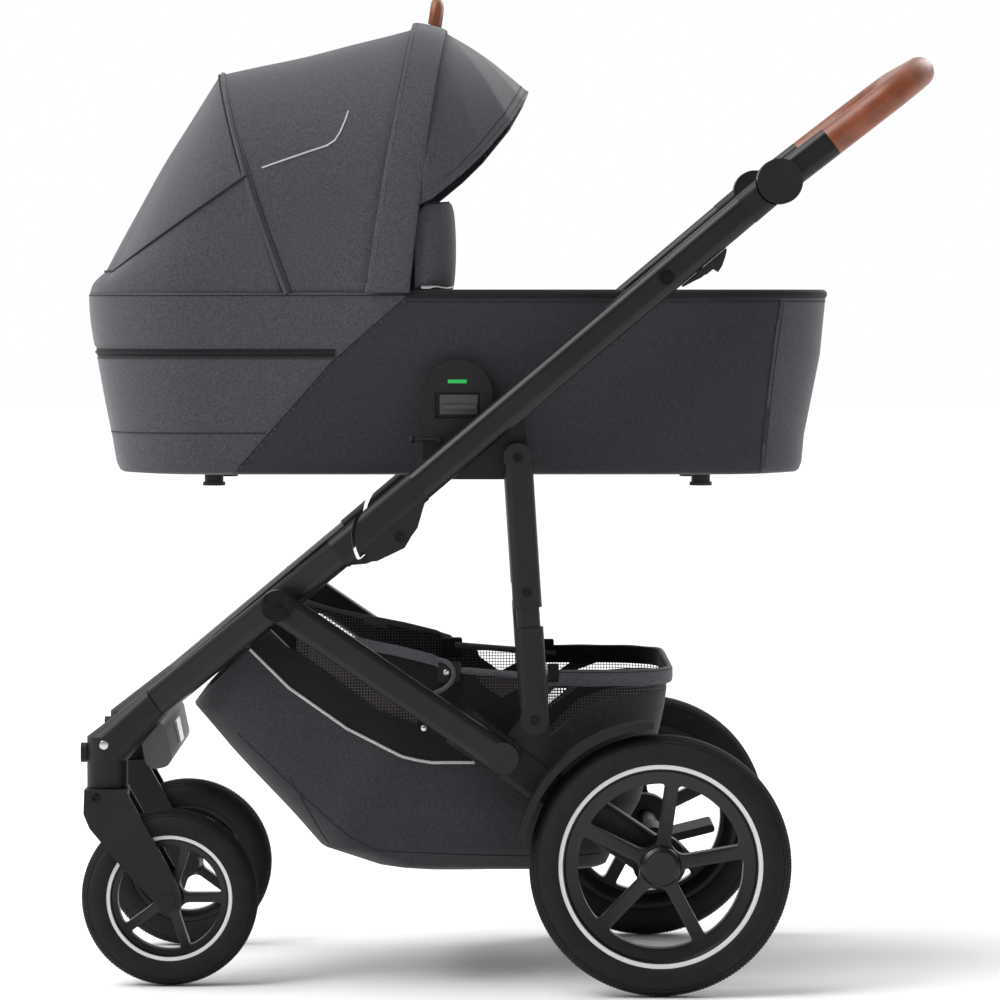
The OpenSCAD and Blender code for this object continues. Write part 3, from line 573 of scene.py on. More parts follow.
def cord_piece(name, points, radius, mat, closed=False, sides=3):
    """A round cord, piping or seam through points in mm."""
    curve = bpy.data.curves.new(name, "CURVE")
    curve.dimensions = "3D"
    curve.bevel_depth = radius * MM
    curve.bevel_resolution = sides
    curve.use_fill_caps = True
    spline = curve.splines.new("POLY")
    spline.points.add(len(points) - 1)
    for spot, point in zip(spline.points, points):
        spot.co = (*[c * MM for c in point], 1)
    spline.use_cyclic_u = closed
    holder = bpy.data.objects.new(name, curve)
    bpy.context.scene.collection.objects.link(holder)
    select_only(holder)
    bpy.ops.object.convert(target="MESH")
    piece = bpy.context.object
    bpy.ops.object.shade_smooth()
    return keep(piece, name, mat)


# Polyester twill: threads are 0.4 mm and are drawn at 1.1 mm to show
charcoal = cloth_finish("woven_polyester_twill_charcoal", "#3b393f", "#4d4b52", 1.1, 0.25, 0.86)
# A darker copy of the twill: painted shade for the cot's side panels
charcoal_painted_shade = cloth_finish("woven_polyester_twill_painted_shade", "#29272c", "#353338", 1.1, 0.2, 0.88)
black_tape = cloth_finish("woven_nylon_tape_black", "#121213", "#1e1e20", 0.9, 0.1, 0.8)
seam_thread = cloth_finish("sewn_seam_thread_dark", "#222125", "#2c2b30", 0.8, 0.1, 0.9)

# Plan of the cot at rising heights: z, front x, rear x, half width, corner radius
COT_LEVELS = [(571, -426, 323, 187, 84), (574, -434, 329.5, 193, 92), (583, -438, 333, 197, 97),
              (613, -443, 336, 201, 105), (704, -461, 354, 211, 118), (766, -468, 360, 214, 122),
              (772, -468, 360, 214, 122)]
DIAGONAL = [(-304, 571), (-194.2, 695.8), (-109.9, 769.7), (-108, 790)]


def level_at(levels, z):
    """Front, rear, half width and corner radius at height z of a table of plans."""
    for low, high in zip(levels, levels[1:]):
        if z <= high[0]:
            t = max(0.0, (z - low[0]) / (high[0] - low[0]))
            return [a + (b - a) * t for a, b in zip(low[1:], high[1:])]
    return list(levels[-1][1:])


def round_plan(u, front, rear, half, r):
    """Point and outward direction at share u of the way round a plan, from the head's middle."""
    side = -1 if u <= 0.5 else 1
    w = u if u <= 0.5 else 1 - u
    head, corner, flank, foot = 0.045, 0.125, 0.375, 0.455     # shares at which each part ends
    if w <= head:
        return (front, side * (half - r) * w / head), (-1, 0)
    if w <= corner:
        turn = math.radians(90) * (w - head) / (corner - head)
        return ((front + r - r * math.cos(turn), side * (half - r + r * math.sin(turn))),
                (-math.cos(turn), side * math.sin(turn)))
    if w <= flank:
        t = (w - corner) / (flank - corner)
        return (front + r + (rear - front - 2 * r) * t, side * half), (0, side)
    if w <= foot:
        turn = math.radians(90) * (w - flank) / (foot - flank)
        return ((rear - r + r * math.sin(turn), side * (half - r + r * math.cos(turn))),
                (math.sin(turn), side * math.cos(turn)))
    return (rear, side * (half - r) * (0.5 - w) / (0.5 - foot)), (1, 0)


def half_width(x, front, rear, half, r):
    """Half the width of a rounded plan at x."""
    gap = min(r, max(0.0, front + r - x, x - rear + r))
    return half - r + math.sqrt(r * r - gap * gap)


def share_on(x, front, rear, half, r):
    """Share of the way round, on the left side, at which a rounded plan reaches x."""
    return 0.125 + 0.25 * (x - front - r) / (rear - front - 2 * r)


def cot_relief(x, z):
    """How far the cover stands out over the shell at a place on its side or end."""
    cut = along_points([(b, a) for a, b in DIAGONAL], z) if z < 790 else -108
    head = ease((cut - x) / 5)
    band = ease((z - 711) / 3) * ease((779 - z) / 6)
    puff = 1.6 * math.sin(math.pi * min(1, max(0, (z - 711) / 62)))
    pocket = ease((703 - z) / 3) * (1.4 + 0.9 * math.sin(math.pi * min(1, max(0, (z - 571) / 132))))
    calm = 1 - 0.66 * ease((x + 330) / 90)     # lies flatter where the hood's hoop swings past
    return head * (band * (2.4 + puff) * calm + pocket) + (1 - head) * 0.3


def cot_point(u, z, lift=0.0):
    (x, y), (nx, ny) = round_plan(u, *level_at(COT_LEVELS, z))
    out = cot_relief(x, z) + lift
    return x + nx * out, y + ny * out, z


def cot_side(x, z, side=-1, lift=0.0):
    """A point of the cover's long side at (x, z)."""
    half = half_width(x, *level_at(COT_LEVELS, z))
    return x, side * (half + cot_relief(x, z) + lift), z


def cover_place(u, v):
    if v < 0.08:                                   # underside, from its middle to the edge
        x, y, _ = cot_point(u, 571)
        t = v / 0.08
        return -51 + (x + 51) * t, y * t, 571
    if v < 0.94:
        return cot_point(u, 571 + 201 * (v - 0.08) / 0.86)
    x, y, _ = cot_point(u, 772)                    # turned in over the shell's edge
    _, (nx, ny) = round_plan(u, *level_at(COT_LEVELS, 772))
    t = (v - 0.94) / 0.06
    return x - nx * 9 * t, y - ny * 9 * t, 772 + 1.5 * math.sin(math.pi * t)


cover = grid_piece("cot_cover", 440, 92, cover_place, charcoal, joined=True)
face_out(cover)
apply_modifier(cover, "SOLIDIFY", thickness=2.0 * MM, offset=-1.0)
# The side panels, between the diagonal seam and the foot panel, get a darker copy
# of the same cloth: painted shade for sides that face away from the light
cover.data.materials.append(charcoal_painted_shade)
for face in cover.data.polygons:
    c = face.center / MM
    cut = along_points([(b, a) for a, b in DIAGONAL], c.z)
    if cut + 1 < c.x < 303 - 0.105 * (760 - c.z) and abs(c.y) > 120:
        face.material_index = 1
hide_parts("cot_shell")
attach(cover, "carrycot")


def fix_to(piece, body):
    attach(piece, body)
    return piece


def cot_line(name, points, radius, mat, lift=0.2, steps=14):
    """A seam, piping or tape edge laid on both long sides of the cot through (x, z) points."""
    for side_name, side in SIDES:
        way = []
        for (x0, z0), (x1, z1) in zip(points, points[1:]):
            for k in range(steps):
                t = k / steps
                way.append(cot_side(x0 + (x1 - x0) * t, z0 + (z1 - z0) * t, side, lift))
        way.append(cot_side(*points[-1], side, lift))
        fix_to(cord_piece(f"{name}_{side_name}", way, radius, mat), "carrycot")


cot_line("diagonal_seam", [(-303, 573), (-194.2, 695.8), (-110.5, 769.2)], 0.9, seam_thread, 0.1)
cot_line("foot_panel_seam", [(281.5, 573), (292.1, 686), (303.2, 764)], 0.8, seam_thread, 0.2)
cot_line("foot_panel_topstitch", [(286.5, 573), (297.1, 686), (308.2, 764)], 0.45, seam_thread)


def ring_line(name, z, u0, u1, radius, mat, lift, steps=140):
    """A line round the head end at height z between two shares of the way round."""
    way = [cot_point((u0 + (u1 - u0) * k / steps) % 1.0, z, lift) for k in range(steps + 1)]
    return fix_to(cord_piece(name, way, radius, mat), "carrycot")


def share_at(x, z):
    """Share of the way round the cot at height z, on the left side, at x."""
    return share_on(x, *level_at(COT_LEVELS, z))


low_end, zip_end, top_end = share_at(-267, 617.6), share_at(-190, 707), share_at(-112, 769)
ring_line("pocket_seam", 617.6, -low_end, low_end, 0.7, seam_thread, 0.05)
ring_line("hood_base_seam", 770.6, -top_end, top_end, 0.7, seam_thread, 0.1)
ring_line("pocket_top_stitch", 700.5, -zip_end, zip_end, 0.4, seam_thread, 0.2)


# Zip: black tape 9 mm wide round the head end, with a coil down its middle
def zip_place(u, v):
    share = (-zip_end + 2 * zip_end * u) % 1.0
    return cot_point(share, 702.5 + 8.5 * v, 0.9 + 0.5 * math.sin(math.pi * v))


zip_tape = fix_to(grid_piece("pocket_zip_tape", 220, 4, zip_place, black_tape), "carrycot")
ring_line("pocket_zip_coil", 706.7, -zip_end, zip_end, 1.3, black_tape, 1.7)


# Black binding round the foot part of the rim: doubled tape over a 5 mm cord
def binding_line(level_z, out, z):
    """A line round the foot part of the rim at height z, set off from the plan at level_z."""
    way = []
    for k in range(181):
        share = top_end + (1 - 2 * top_end) * k / 180
        (x, y), (nx, ny) = round_plan(share, *level_at(COT_LEVELS, level_z))
        way.append((x + nx * out, y + ny * out, z))
    return way


binding = cord_piece("rim_binding", binding_line(772, -3.2, 771.6), 5.6, black_tape, sides=5)
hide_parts("cot_rim")
fix_to(binding, "carrycot")
fix_to(cord_piece("rim_binding_stitch", binding_line(764, 0.6, 763.6), 0.5, seam_thread),
       "carrycot")

# ---------------------------------------------------------------------------
# Inside the cot: a foam mattress in quilted cotton, an apron of the cover's
# cloth over the foot half, and a padded wind guard that stands up from it.
# ---------------------------------------------------------------------------
cotton = cloth_finish("quilted_cotton_off_white", "#cfccc4", "#e2dfd8", 1.2, 0.2, 0.9)


def mattress_place(u, v):
    top_part = 0.86                                # the rest of v runs down the edge
    t = min(1.0, v / top_part)
    (x, y), (nx, ny) = round_plan(u, -408, 304, 174, 76)
    if v <= top_part:
        crown = 609 + 6 * (1 - t ** 4) + 1.2 * math.cos(x / 22) * math.cos(y / 22) * (1 - t ** 3)
        return -52 + (x + 52) * t, y * t, crown
    drop = (v - top_part) / (1 - top_part)
    swell = 3.5 * math.sin(math.pi * drop)
    return x + nx * swell, y + ny * swell, 609 - 28 * drop


mattress = grid_piece("mattress_pad", 160, 40, mattress_place, cotton, joined=True)
face_out(mattress)
apply_modifier(mattress, "SOLIDIFY", thickness=3 * MM, offset=-1.0)
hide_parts("mattress")
fix_to(mattress, "carrycot")


def apron_place(u, v):
    x = -70 + 424 * u
    half = abs(cot_side(x, 766)[1]) - 7.5
    if x > 340:
        half *= 0.999
    y = -half + 2 * half * v
    dome = math.sin(math.pi * v) ** 0.5 * math.sin(math.pi * (0.12 + 0.88 * u)) ** 0.6
    fold = 0.8 * math.sin(x / 31 + y / 60) * math.sin(math.pi * v)
    return x, y, 768.2 + 6.2 * dome + fold


apron = grid_piece("foot_apron", 110, 80, apron_place, charcoal)
apply_modifier(apron, "SOLIDIFY", thickness=2.2 * MM, offset=-1.0)
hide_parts("apron")
fix_to(apron, "carrycot")


def guard_plan(t):
    """Middle line of the guard in plan: straight across, with its ends turned to the head."""
    half, r, x0 = 206.5, 38, -65
    side = -1 if t < 0.5 else 1
    w = abs(t - 0.5) * 2
    if w < 0.78:
        return (x0, side * (half - r) * w / 0.78), (1, 0)
    turn = math.radians(88) * (w - 0.78) / 0.22
    return ((x0 - r + r * math.cos(turn), side * (half - r + r * math.sin(turn))),
            (math.cos(turn), side * math.sin(turn)))


def guard_top(w):
    """Height of the guard's top edge, w from 0 at its middle to 1 at its ends."""
    return 874 - 4 * w ** 6 - 9 * ease((w - 0.95) / 0.05)


def guard_place(u, v):
    """v goes round the pad's section: front face, top roll, back face, bottom roll."""
    (x, y), (nx, ny) = guard_plan(u)
    w = abs(u - 0.5) * 2
    top, low = guard_top(w), 777
    around = 2 * math.pi * v
    thick = 5.5 * (1 - 0.6 * ease((w - 0.96) / 0.04))
    lobe = lobed(math.cos(around), 0.35)
    rise = lobed(math.sin(around), 0.8)
    puff = 1 + 0.25 * math.cos(rise * math.pi / 2)
    return (x + nx * thick * lobe * puff, y + ny * thick * lobe * puff,
            (top + low) / 2 + (top - low) / 2 * rise)


guard = grid_piece("wind_guard_pad", 150, 48, guard_place, charcoal, joined=True)
face_out(guard)
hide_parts("wind_guard")
fix_to(guard, "carrycot")
guard_edge = []
for k in range(121):
    t = 0.02 + 0.96 * k / 120
    (x, y), _ = guard_plan(t)
    guard_edge.append((x, y, guard_top(abs(t - 0.5) * 2) + 0.6))
fix_to(cord_piece("wind_guard_piping", guard_edge, 1.3, seam_thread), "carrycot")

# Zip slider of the apron, with its pull, at the left end of the guard
zip_metal, _ = finish("die_cast_zinc_nickel", "#b9b9b6", 0.3, Metallic=1.0)
fix_to(block("apron_zip_slider", (-89, -210.5, 779.5), (12, 6, 4), 1.4, 3, zip_metal),
       "carrycot")
pull_way = [(-84 + 4.2 * k, -213 - 0.6 * math.sin(k * 1.3), 779.5 + 0.9 * math.sin(k * 1.1))
            for k in range(7)]
fix_to(cord_piece("apron_zip_pull", pull_way, 1.0, zip_metal), "carrycot")

# ---------------------------------------------------------------------------
# Hood: one tailored sheet of coated twill, stretched from the head of the cot
# over a sprung rib to the hoop. A welt is sewn over the rib, a piped fold
# runs round the head end, and a reflective line crosses the front panel.
# ---------------------------------------------------------------------------
HOOD_FOLD_X, HOOD_FOLD_Z = -452, 797


def arch(share, half, height, shoulder):
    """Across and height at share of the way over an arch with rounded shoulders."""
    side = -1 if share <= 0.5 else 1
    w = (share if share <= 0.5 else 1 - share) * 2
    wall, bend, flat = height - shoulder, math.pi / 2 * shoulder, half - shoulder
    way = w * (wall + bend + flat)
    if way <= wall:
        return side * half, way
    if way <= wall + bend:
        a = (way - wall) / shoulder
        return side * (half - shoulder + shoulder * math.cos(a)), wall + shoulder * math.sin(a)
    return side * (half - shoulder - (way - wall - bend)), height


def rib_point(share):
    y, h = arch(share, 212.5, 247.5, 146)
    t = h / 247.5
    return -246.9 - 76.5 * t - 5 * math.sin(math.pi * t), y, 772 + h


def hoop_point(share, x_shift=0.0, out=0.0):
    y, h = arch(share, 215 + out, 300.5 + out, 150 + out)
    t = h / 300.5
    return -132 + 37 * t + 9 * t * t + x_shift, y, 773 + h + x_shift * -0.25 * ease((t - 0.8) / 0.2)


RIB_FOLD = 0.195          # share of the rib at which the fold line meets it


def base_point(u):
    """The hood's lower edge at the cot: left side first, round the head, right side last."""
    share = share_at(-247, 772) * abs(2 * u - 1)
    (x, y), _ = round_plan(share, -470, 360, 213, 122)
    return x, y if u <= 0.5 else -y, 772.5


def fold_point(u):
    w = abs(2 * u - 1)                    # 0 at the head's middle, 1 where it meets the rib
    side = -1 if u < 0.5 else 1
    half, r = 212, 122
    wall, bend, flat = 164.0 - r, math.pi / 2 * r, half - r
    way = w * (wall + bend + flat)
    if way <= flat:
        x, y = HOOD_FOLD_X, way
    elif way <= flat + bend:
        a = (way - flat) / r
        x, y = HOOD_FOLD_X + r - r * math.cos(a), flat + r * math.sin(a)
    else:
        x, y = HOOD_FOLD_X + r + (way - flat - bend), half
    rise = max(0.0, x + 440) / (440 - 288)
    return x, side * y, HOOD_FOLD_Z + 105.5 * rise


def mix(a, b, t):
    return tuple(p + (q - p) * t for p, q in zip(a, b))


def soft_creases(x, y, z, strength):
    """Shallow creases of stretched cloth, in mm."""
    return strength * (math.sin(x / 23 + z / 37 + 0.8 * math.sin(y / 41))
                       + 0.6 * math.sin(x / 51 - z / 19 + y / 63))


def head_panel(u, v):
    if v <= 0.3:
        t = v / 0.3
        x, y, z = mix(base_point(u), fold_point(u), t)
        swell = math.sin(math.pi * t) * 5.5
        w = abs(2 * u - 1)
        nx, ny = (-1, 0) if w < 0.25 else (-0.7, 0.7 * (1 if u > 0.5 else -1))
        if w > 0.6:
            nx, ny = 0, (1 if u > 0.5 else -1)
            swell *= 0.6 + 0.4 * (1 - w) / 0.4
        swell += soft_creases(x, y, z, 0.5) * math.sin(math.pi * t)
        return x + nx * swell, y + ny * swell, z
    t = (v - 0.3) / 0.7
    x, y, z = mix(fold_point(u), rib_point(RIB_FOLD + (1 - 2 * RIB_FOLD) * u), t)
    swell = math.sin(math.pi * t) * math.sin(math.pi * u) * 4 + soft_creases(x, y, z, 0.6) \
        * math.sin(math.pi * t) * min(1, 6 * math.sin(math.pi * u))
    lift = Vector((-0.85, 0.25 * y / 212, 0.5)).normalized() * swell
    return x + lift.x, y + lift.y, z + lift.z


def front_share(u):
    """Columns of the front panel meet those of the head panel along the rib."""
    if u < 0.125:
        return u / 0.125 * RIB_FOLD
    if u > 0.875:
        return 1 - (1 - u) / 0.125 * RIB_FOLD
    return RIB_FOLD + (1 - 2 * RIB_FOLD) * (u - 0.125) / 0.75


def front_panel(u, v):
    share = front_share(u)
    x, y, z = mix(rib_point(share), hoop_point(share, -8, -1.2), v)
    middle = math.sin(math.pi * v)
    dip = middle * 2.2 - soft_creases(x, y, z, 0.5) * middle
    out = Vector((0, y / 212 if z < 950 else y / 400, max(0.0, (z - 870) / 160))).normalized()
    return x, y - out.y * dip, z - out.z * dip


hood = grid_piece("hood_sheet", 180, 90, head_panel, charcoal)
front = grid_piece("hood_front_panel", 240, 60, front_panel, charcoal)
nothing_selected()
front.select_set(True)
hood.select_set(True)
bpy.context.view_layer.objects.active = hood
bpy.ops.object.join()
bpy.ops.object.mode_set(mode="EDIT")
bpy.ops.mesh.select_all(action="SELECT")
bpy.ops.mesh.remove_doubles(threshold=1.2 * MM)
bpy.ops.mesh.normals_make_consistent(inside=False)
bpy.ops.object.mode_set(mode="OBJECT")
nothing_selected()


def laid_on(piece, x, z, side=-1, lift=0.4):
    """The point of a piece's outer face seen squarely from one side at (x, z)."""
    hit, place, normal, _ = piece.ray_cast(Vector((x, side * 600, z)) * MM, Vector((0, -side, 0)))
    if not hit:
        return None
    away = normal if normal.y * side > 0 else -normal
    return tuple((place + away * lift * MM) / MM)


def hood_ride(piece):
    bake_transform(piece)
    return piece


# Light reflective line across the front panel, on both sides
piping_grey = cloth_finish("reflective_piping_grey", "#a6a6a6", "#c2c2c2", 1.0, 0.1, 0.6)
for side_name, side in SIDES:
    route = [(-271, 911.5), (-235, 924), (-198, 936.5), (-190, 942), (-184.5, 950.5), (-179, 963),
             (-174.5, 977)]
    spots = []
    for (x0, z0), (x1, z1) in zip(route, route[1:]):
        for k in range(6):
            spots.append(laid_on(hood, x0 + (x1 - x0) * k / 6, z0 + (z1 - z0) * k / 6, side))
    hood_ride(cord_piece(f"hood_reflective_line_{side_name}", [p for p in spots if p], 1.0,
                         piping_grey))

apply_modifier(hood, "SOLIDIFY", thickness=1.4 * MM, offset=-1.0)
select_only(hood)
bpy.ops.object.shade_smooth()
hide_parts("canopy")
hood_ride(hood)


def rib_line(name, shift, out, radius, mat, first=0.0, last=1.0, steps=150):
    way = []
    for k in range(steps + 1):
        share = first + (last - first) * k / steps
        x, y, z = rib_point(share)
        top = max(0.0, (z - 900) / 130)
        way.append((x + shift, y + out * (y / 212) * (1 - 0.6 * top), z + out * top))
    return hood_ride(cord_piece(name, way, radius, mat))


rib_line("hood_rib_welt", 3.2, 1.0, 2.6, charcoal)
rib_line("hood_rib_seam", -1.2, 0.3, 0.9, seam_thread)
rib_line("hood_rib_stitch", 9.5, 0.5, 0.45, seam_thread)
fold_way = []
for k in range(161):
    x, y, z = fold_point(k / 160)
    fold_way.append((x - (0.6 if abs(y) < 120 else 0), y + 0.5 * (y / 212), z + 0.2))
hood_ride(cord_piece("hood_fold_piping", fold_way, 1.5, black_tape))

# ---------------------------------------------------------------------------
# Hoop and visor: the hoop is a sprung strip in a padded sleeve of the same
# cloth, and the visor is a stiffened peak sewn along the hoop's front edge.
# ---------------------------------------------------------------------------


def hoop_edge(share, along, lift, end=1.0):
    """A point off the hoop's middle, along its width (-1 to 1) and lifted outwards."""
    y, h = arch(share, 217.5, 300.5, 150)
    width = 24.5 - 5.5 * h / 300.5
    x, _, z = hoop_point(share)
    top = ease((h - 145) / 155)
    side = -1 if share <= 0.5 else 1
    return (x + width * along, y + side * lift * (1 - top) * end,
            z + 0.5 + top * (lift - 3 - 0.22 * width * along))


def hoop_place(u, v):
    around = 2 * math.pi * v
    thick = 3.2 + 0.15 * math.sin(u * 90)
    end = 1 - 0.35 * ease((0.02 - min(u, 1 - u)) / 0.02)
    return hoop_edge(u, lobed(math.cos(around), 0.7), 2.2 + thick * lobed(math.sin(around), 0.9),
                     end)


hoop_band = grid_piece("hoop_band", 260, 28, hoop_place, charcoal, joined=True)
close_ends(hoop_band)
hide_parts("canopy_hoop")
fix_to(hoop_band, "canopy_hoop")


for name, along, lift, radius, mat in (("hoop_edge_seam_front", 0.97, 2.2, 0.9, seam_thread),
                                       ("hoop_edge_seam_rear", -0.97, 2.2, 0.9, seam_thread),
                                       ("hoop_stitch_rear", -0.72, 4.4, 0.4, seam_thread)):
    way = [hoop_edge(0.012 + 0.976 * k / 160, along, lift) for k in range(161)]
    fix_to(cord_piece(name, way, radius, mat), "canopy_hoop")

VISOR_EDGE = [(0.0, -97, 216, 873), (0.12, -84, 214, 879), (0.34, -52, 205, 905),
              (0.5, -28, 188, 928), (0.72, 3, 145, 965), (0.88, 18, 82, 990),
              (1.0, 23.8, 0, 1003)]


def visor_place(u, v):
    side = -1 if u <= 0.5 else 1
    w = 1 - abs(2 * u - 1)
    share = 0.142 + 0.358 * w
    start = hoop_edge(share if side < 0 else 1 - share, 0.72, 1.2)
    for a, b in zip(VISOR_EDGE, VISOR_EDGE[1:]):
        if w <= b[0]:
            t = (w - a[0]) / (b[0] - a[0])
            end = [p + (q - p) * t for p, q in zip(a[1:], b[1:])]
            break
    x, y, z = mix(start, (end[0], side * end[1], end[2]), v)
    crown = math.sin(math.pi * v) * 5.5 * math.sin(math.pi * min(1, w)) ** 0.5 if w > 0 else 0
    middle = ease(w)
    return (x + crown * 0.3, y + side * crown * (1 - middle),
            z + crown * middle * 1.1 + math.sin(math.pi * v) * 5.0 * middle)


visor = grid_piece("hood_visor", 160, 30, visor_place, charcoal)
face_out(visor)
apply_modifier(visor, "SOLIDIFY", thickness=2.6 * MM, offset=0.0)
select_only(visor)
bpy.ops.object.shade_smooth()
nothing_selected()
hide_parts("visor")
fix_to(visor, "canopy_hoop")
edge = [visor_place(k / 160, 1.0) for k in range(161)]
fix_to(cord_piece("visor_edge_wire", edge, 2.1, charcoal), "canopy_hoop")
inner = [visor_place(0.03 + 0.94 * k / 160, 0.93) for k in range(161)]
fix_to(cord_piece("visor_edge_stitch", [(x + 0.6, y * 1.004, z + 1.2) for x, y, z in inner], 0.45,
                  seam_thread), "canopy_hoop")

# ---------------------------------------------------------------------------
# Basket: a sewn tub of plum-black polyester that hangs from the legs and sags
# a little, with open net above it and dense net bands sewn over the net. A
# padded rim closes the rear, and webbing straps carry the front corners.
# ---------------------------------------------------------------------------
plum = cloth_finish("woven_polyester_plum_black", "#2b282c", "#3a373c", 1.2, 0.15, 0.82)
dense_net = cloth_finish("dense_polyester_net_black", "#0f0f10", "#1a191b", 1.6, 0.08, 0.8)
rim_cloth = cloth_finish("padded_polyester_grey", "#48454b", "#5b585e", 1.2, 0.25, 0.85)

# Open net: 2 mm cells of 0.3 mm thread, drawn at 3.4 mm so that they show
open_net, net_shader = finish("open_polyester_net", "#4a4446", 0.7)
net_tree = open_net.node_tree
net_where = add_node(net_tree, "TexCoord").outputs["Object"]
threads = []
for direction in ("X", "Z"):
    wave = add_node(net_tree, "TexWave", {"bands_direction": direction}, {
        "Vector": net_where, "Scale": 1 / (3.4 * MM) * 0.314})
    threads.append(add_node(net_tree, "Math", {"operation": "GREATER_THAN"}, {
        0: wave.outputs["Fac"], 1: 0.86}))
weave_all = add_node(net_tree, "Math", {"operation": "MAXIMUM"}, {
    0: threads[0].outputs["Value"], 1: threads[1].outputs["Value"]})
net_tree.links.new(weave_all.outputs["Value"], net_shader.inputs["Alpha"])

# Plan of the tub at rising heights: z, front x, rear x, half width, corner radius
TUB_LEVELS = [(126, -125, 104, 150, 45), (131, -146, 112, 172, 50), (152, -207, 122, 190, 60),
              (203, -254, 151, 200, 66), (265, -311, 167, 204, 70), (312, -350, 178, 206, 72),
              (345, -352, 182, 207, 72), (410, -352, 184, 207, 72)]
TUB_TOP = [(-352, 312), (-287, 380), (-241.6, 334.8), (-177.3, 289.3), (-115.3, 258.3),
           (-99, 254), (-83, 251.6), (-35.5, 251.6), (15, 256), (52.5, 285.4), (80.1, 308.4),
           (116.8, 325), (160.9, 329.5), (186, 331)]
NET_TOP = [(-287, 381), (-266, 396), (-241, 403), (-164, 383), (-80, 366), (-66, 355),
           (9, 354), (46, 348), (186, 346)]


def wall_slack(x, z):
    """How far the hung cloth stands out: two slow waves, and one soft dart near the front."""
    rise = min(1, max(0, (z - 131) / 180))
    waves = 3.2 * math.sin(x / 57 + z / 83) + 1.3 * math.sin(x / 24 - z / 47)
    dart = 4.5 * math.exp(-((x + 190 - 0.55 * (z - 165)) / 26) ** 2)
    return math.sin(math.pi * rise) * waves + dart * ease((z - 140) / 60) * ease((330 - z) / 90)


def tub_wall(u, z):
    """A point of the basket's wall, with the slack of cloth hung from its edge."""
    (x, y), (nx, ny) = round_plan(u, *level_at(TUB_LEVELS, z))
    slack = wall_slack(x, z)
    return x + nx * slack * 0.5, y + ny * slack, z


def tub_edge(u, line):
    """Height of the wall's upper edge at share u of the way round."""
    z = 300.0
    for _ in range(12):
        (x, _), _ = round_plan(u, *level_at(TUB_LEVELS, z))
        z = 0.5 * z + 0.5 * along_points(line, x)
    return z


def tub_place(u, v):
    if v < 0.12:
        (x, y), _ = round_plan(u, *TUB_LEVELS[0][1:])
        t = v / 0.12
        sag = 1.5 * (1 - t * t)
        return -10 + (x + 10) * t, y * t, 126 - sag + 0.8 * math.sin(x * t / 40)
    top = tub_edge(u, TUB_TOP)
    return tub_wall(u, 126 + (top - 126) * ((v - 0.12) / 0.88) ** 1.15)


def net_place(u, v):
    first = 0.155
    share = first + (1 - 2 * first) * u
    low, high = tub_edge(share, TUB_TOP), tub_edge(share, NET_TOP)
    return tub_wall(share, low + (max(high, low + 0.5) - low) * v)


def basket_fix(piece):
    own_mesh(piece)
    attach(piece, "front_frame")
    return piece


tub = grid_piece("basket_tub", 260, 70, tub_place, plum, joined=True)
face_out(tub)
apply_modifier(tub, "SOLIDIFY", thickness=1.2 * MM, offset=-1.0)
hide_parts("basket")
basket_fix(tub)
net = grid_piece("basket_net", 300, 16, net_place, open_net)
basket_fix(net)


def wall_xz(x, z, side, out):
    """The wall's outer face at (x, z) on one side."""
    half = half_width(x, *level_at(TUB_LEVELS, z))
    return x, side * (half + wall_slack(x, z) + out), z


BANDS = {
    "band_under_leg": ([(-287, 378), (-241.6, 334.8), (-177.3, 289.3), (-115.3, 258.3),
                        (-83, 251.6)],
                       [(-285, 382), (-264.8, 393.5), (-209.4, 358), (-144.1, 309.3),
                        (-98.6, 292.6), (-83, 290)]),
    "band_under_strap": ([(-241, 401), (-205, 389), (-164, 371), (-130, 354), (-99, 341)],
                         [(-241, 404), (-205, 394), (-164, 384), (-130, 377), (-99, 370)]),
    "panel_middle": ([(-99, 254), (-83, 251.6), (-35.5, 251.6), (15, 256), (45, 279)],
                     [(-99, 371), (-80, 367), (-66, 355), (-36, 354), (-30, 340.6), (-6, 323.6),
                      (17.4, 336), (34, 336), (45, 318)]),
    "arch_over_wheel": ([(45, 288), (60, 305), (80.1, 323.1), (109.4, 334.1), (140, 337)],
                        [(45, 310), (54.3, 317.6), (80.1, 336), (100, 345), (140, 346)]),
}
for name, (low_edge, high_edge) in BANDS.items():
    for side_name, side in SIDES:
        def band_place(u, v):
            x = low_edge[0][0] + (low_edge[-1][0] - low_edge[0][0]) * u
            z0, z1 = along_points(low_edge, x), along_points(high_edge, x)
            return wall_xz(x, z0 + (z1 - z0) * v, side, 0.9)
        band = grid_piece(f"basket_{name}_{side_name}", 90, 24, band_place, dense_net)
        cut = sum(face.area for face in band.data.polygons)
        basket_fix(band)

# Light piping along the tub's edge, and a darker seam along the bottom corner
for side_name, side in SIDES:
    def sewn(points, out, steps=16):
        way = []
        for (x0, z0), (x1, z1) in zip(points, points[1:]):
            for k in range(steps):
                way.append(wall_xz(x0 + (x1 - x0) * k / steps, z0 + (z1 - z0) * k / steps, side,
                                   out))
        return way + [wall_xz(*points[-1], side, out)]
    basket_fix(cord_piece(f"basket_piping_{side_name}",
                          sewn([(-285, 378), (-241.6, 334.8), (-177.3, 289.3), (-115.3, 258.3),
                                (-98, 254), (-83, 251.6), (-35.5, 251.6)], 1.6), 1.7,
                          piping_grey))
    basket_fix(cord_piece(f"basket_low_seam_{side_name}",
                          sewn([(-300, 283), (-229, 214), (-176, 168), (-144, 151), (-60, 147),
                                (60, 144), (104, 146)], 0.3), 0.8, seam_thread))
    basket_fix(cord_piece(f"basket_dart_{side_name}",
                          sewn([(-242, 234), (-226, 205), (-206, 168), (-199, 158)], 0.3), 0.7,
                          seam_thread))
    # Edge tape of the net under the strap, and the bound edge of the dense band
    basket_fix(cord_piece(f"basket_band_edge_{side_name}",
                          sewn([(-264.8, 393.5), (-209.4, 358), (-144.1, 309.3),
                                (-98.6, 292.6)], 1.3), 1.2, dense_net))

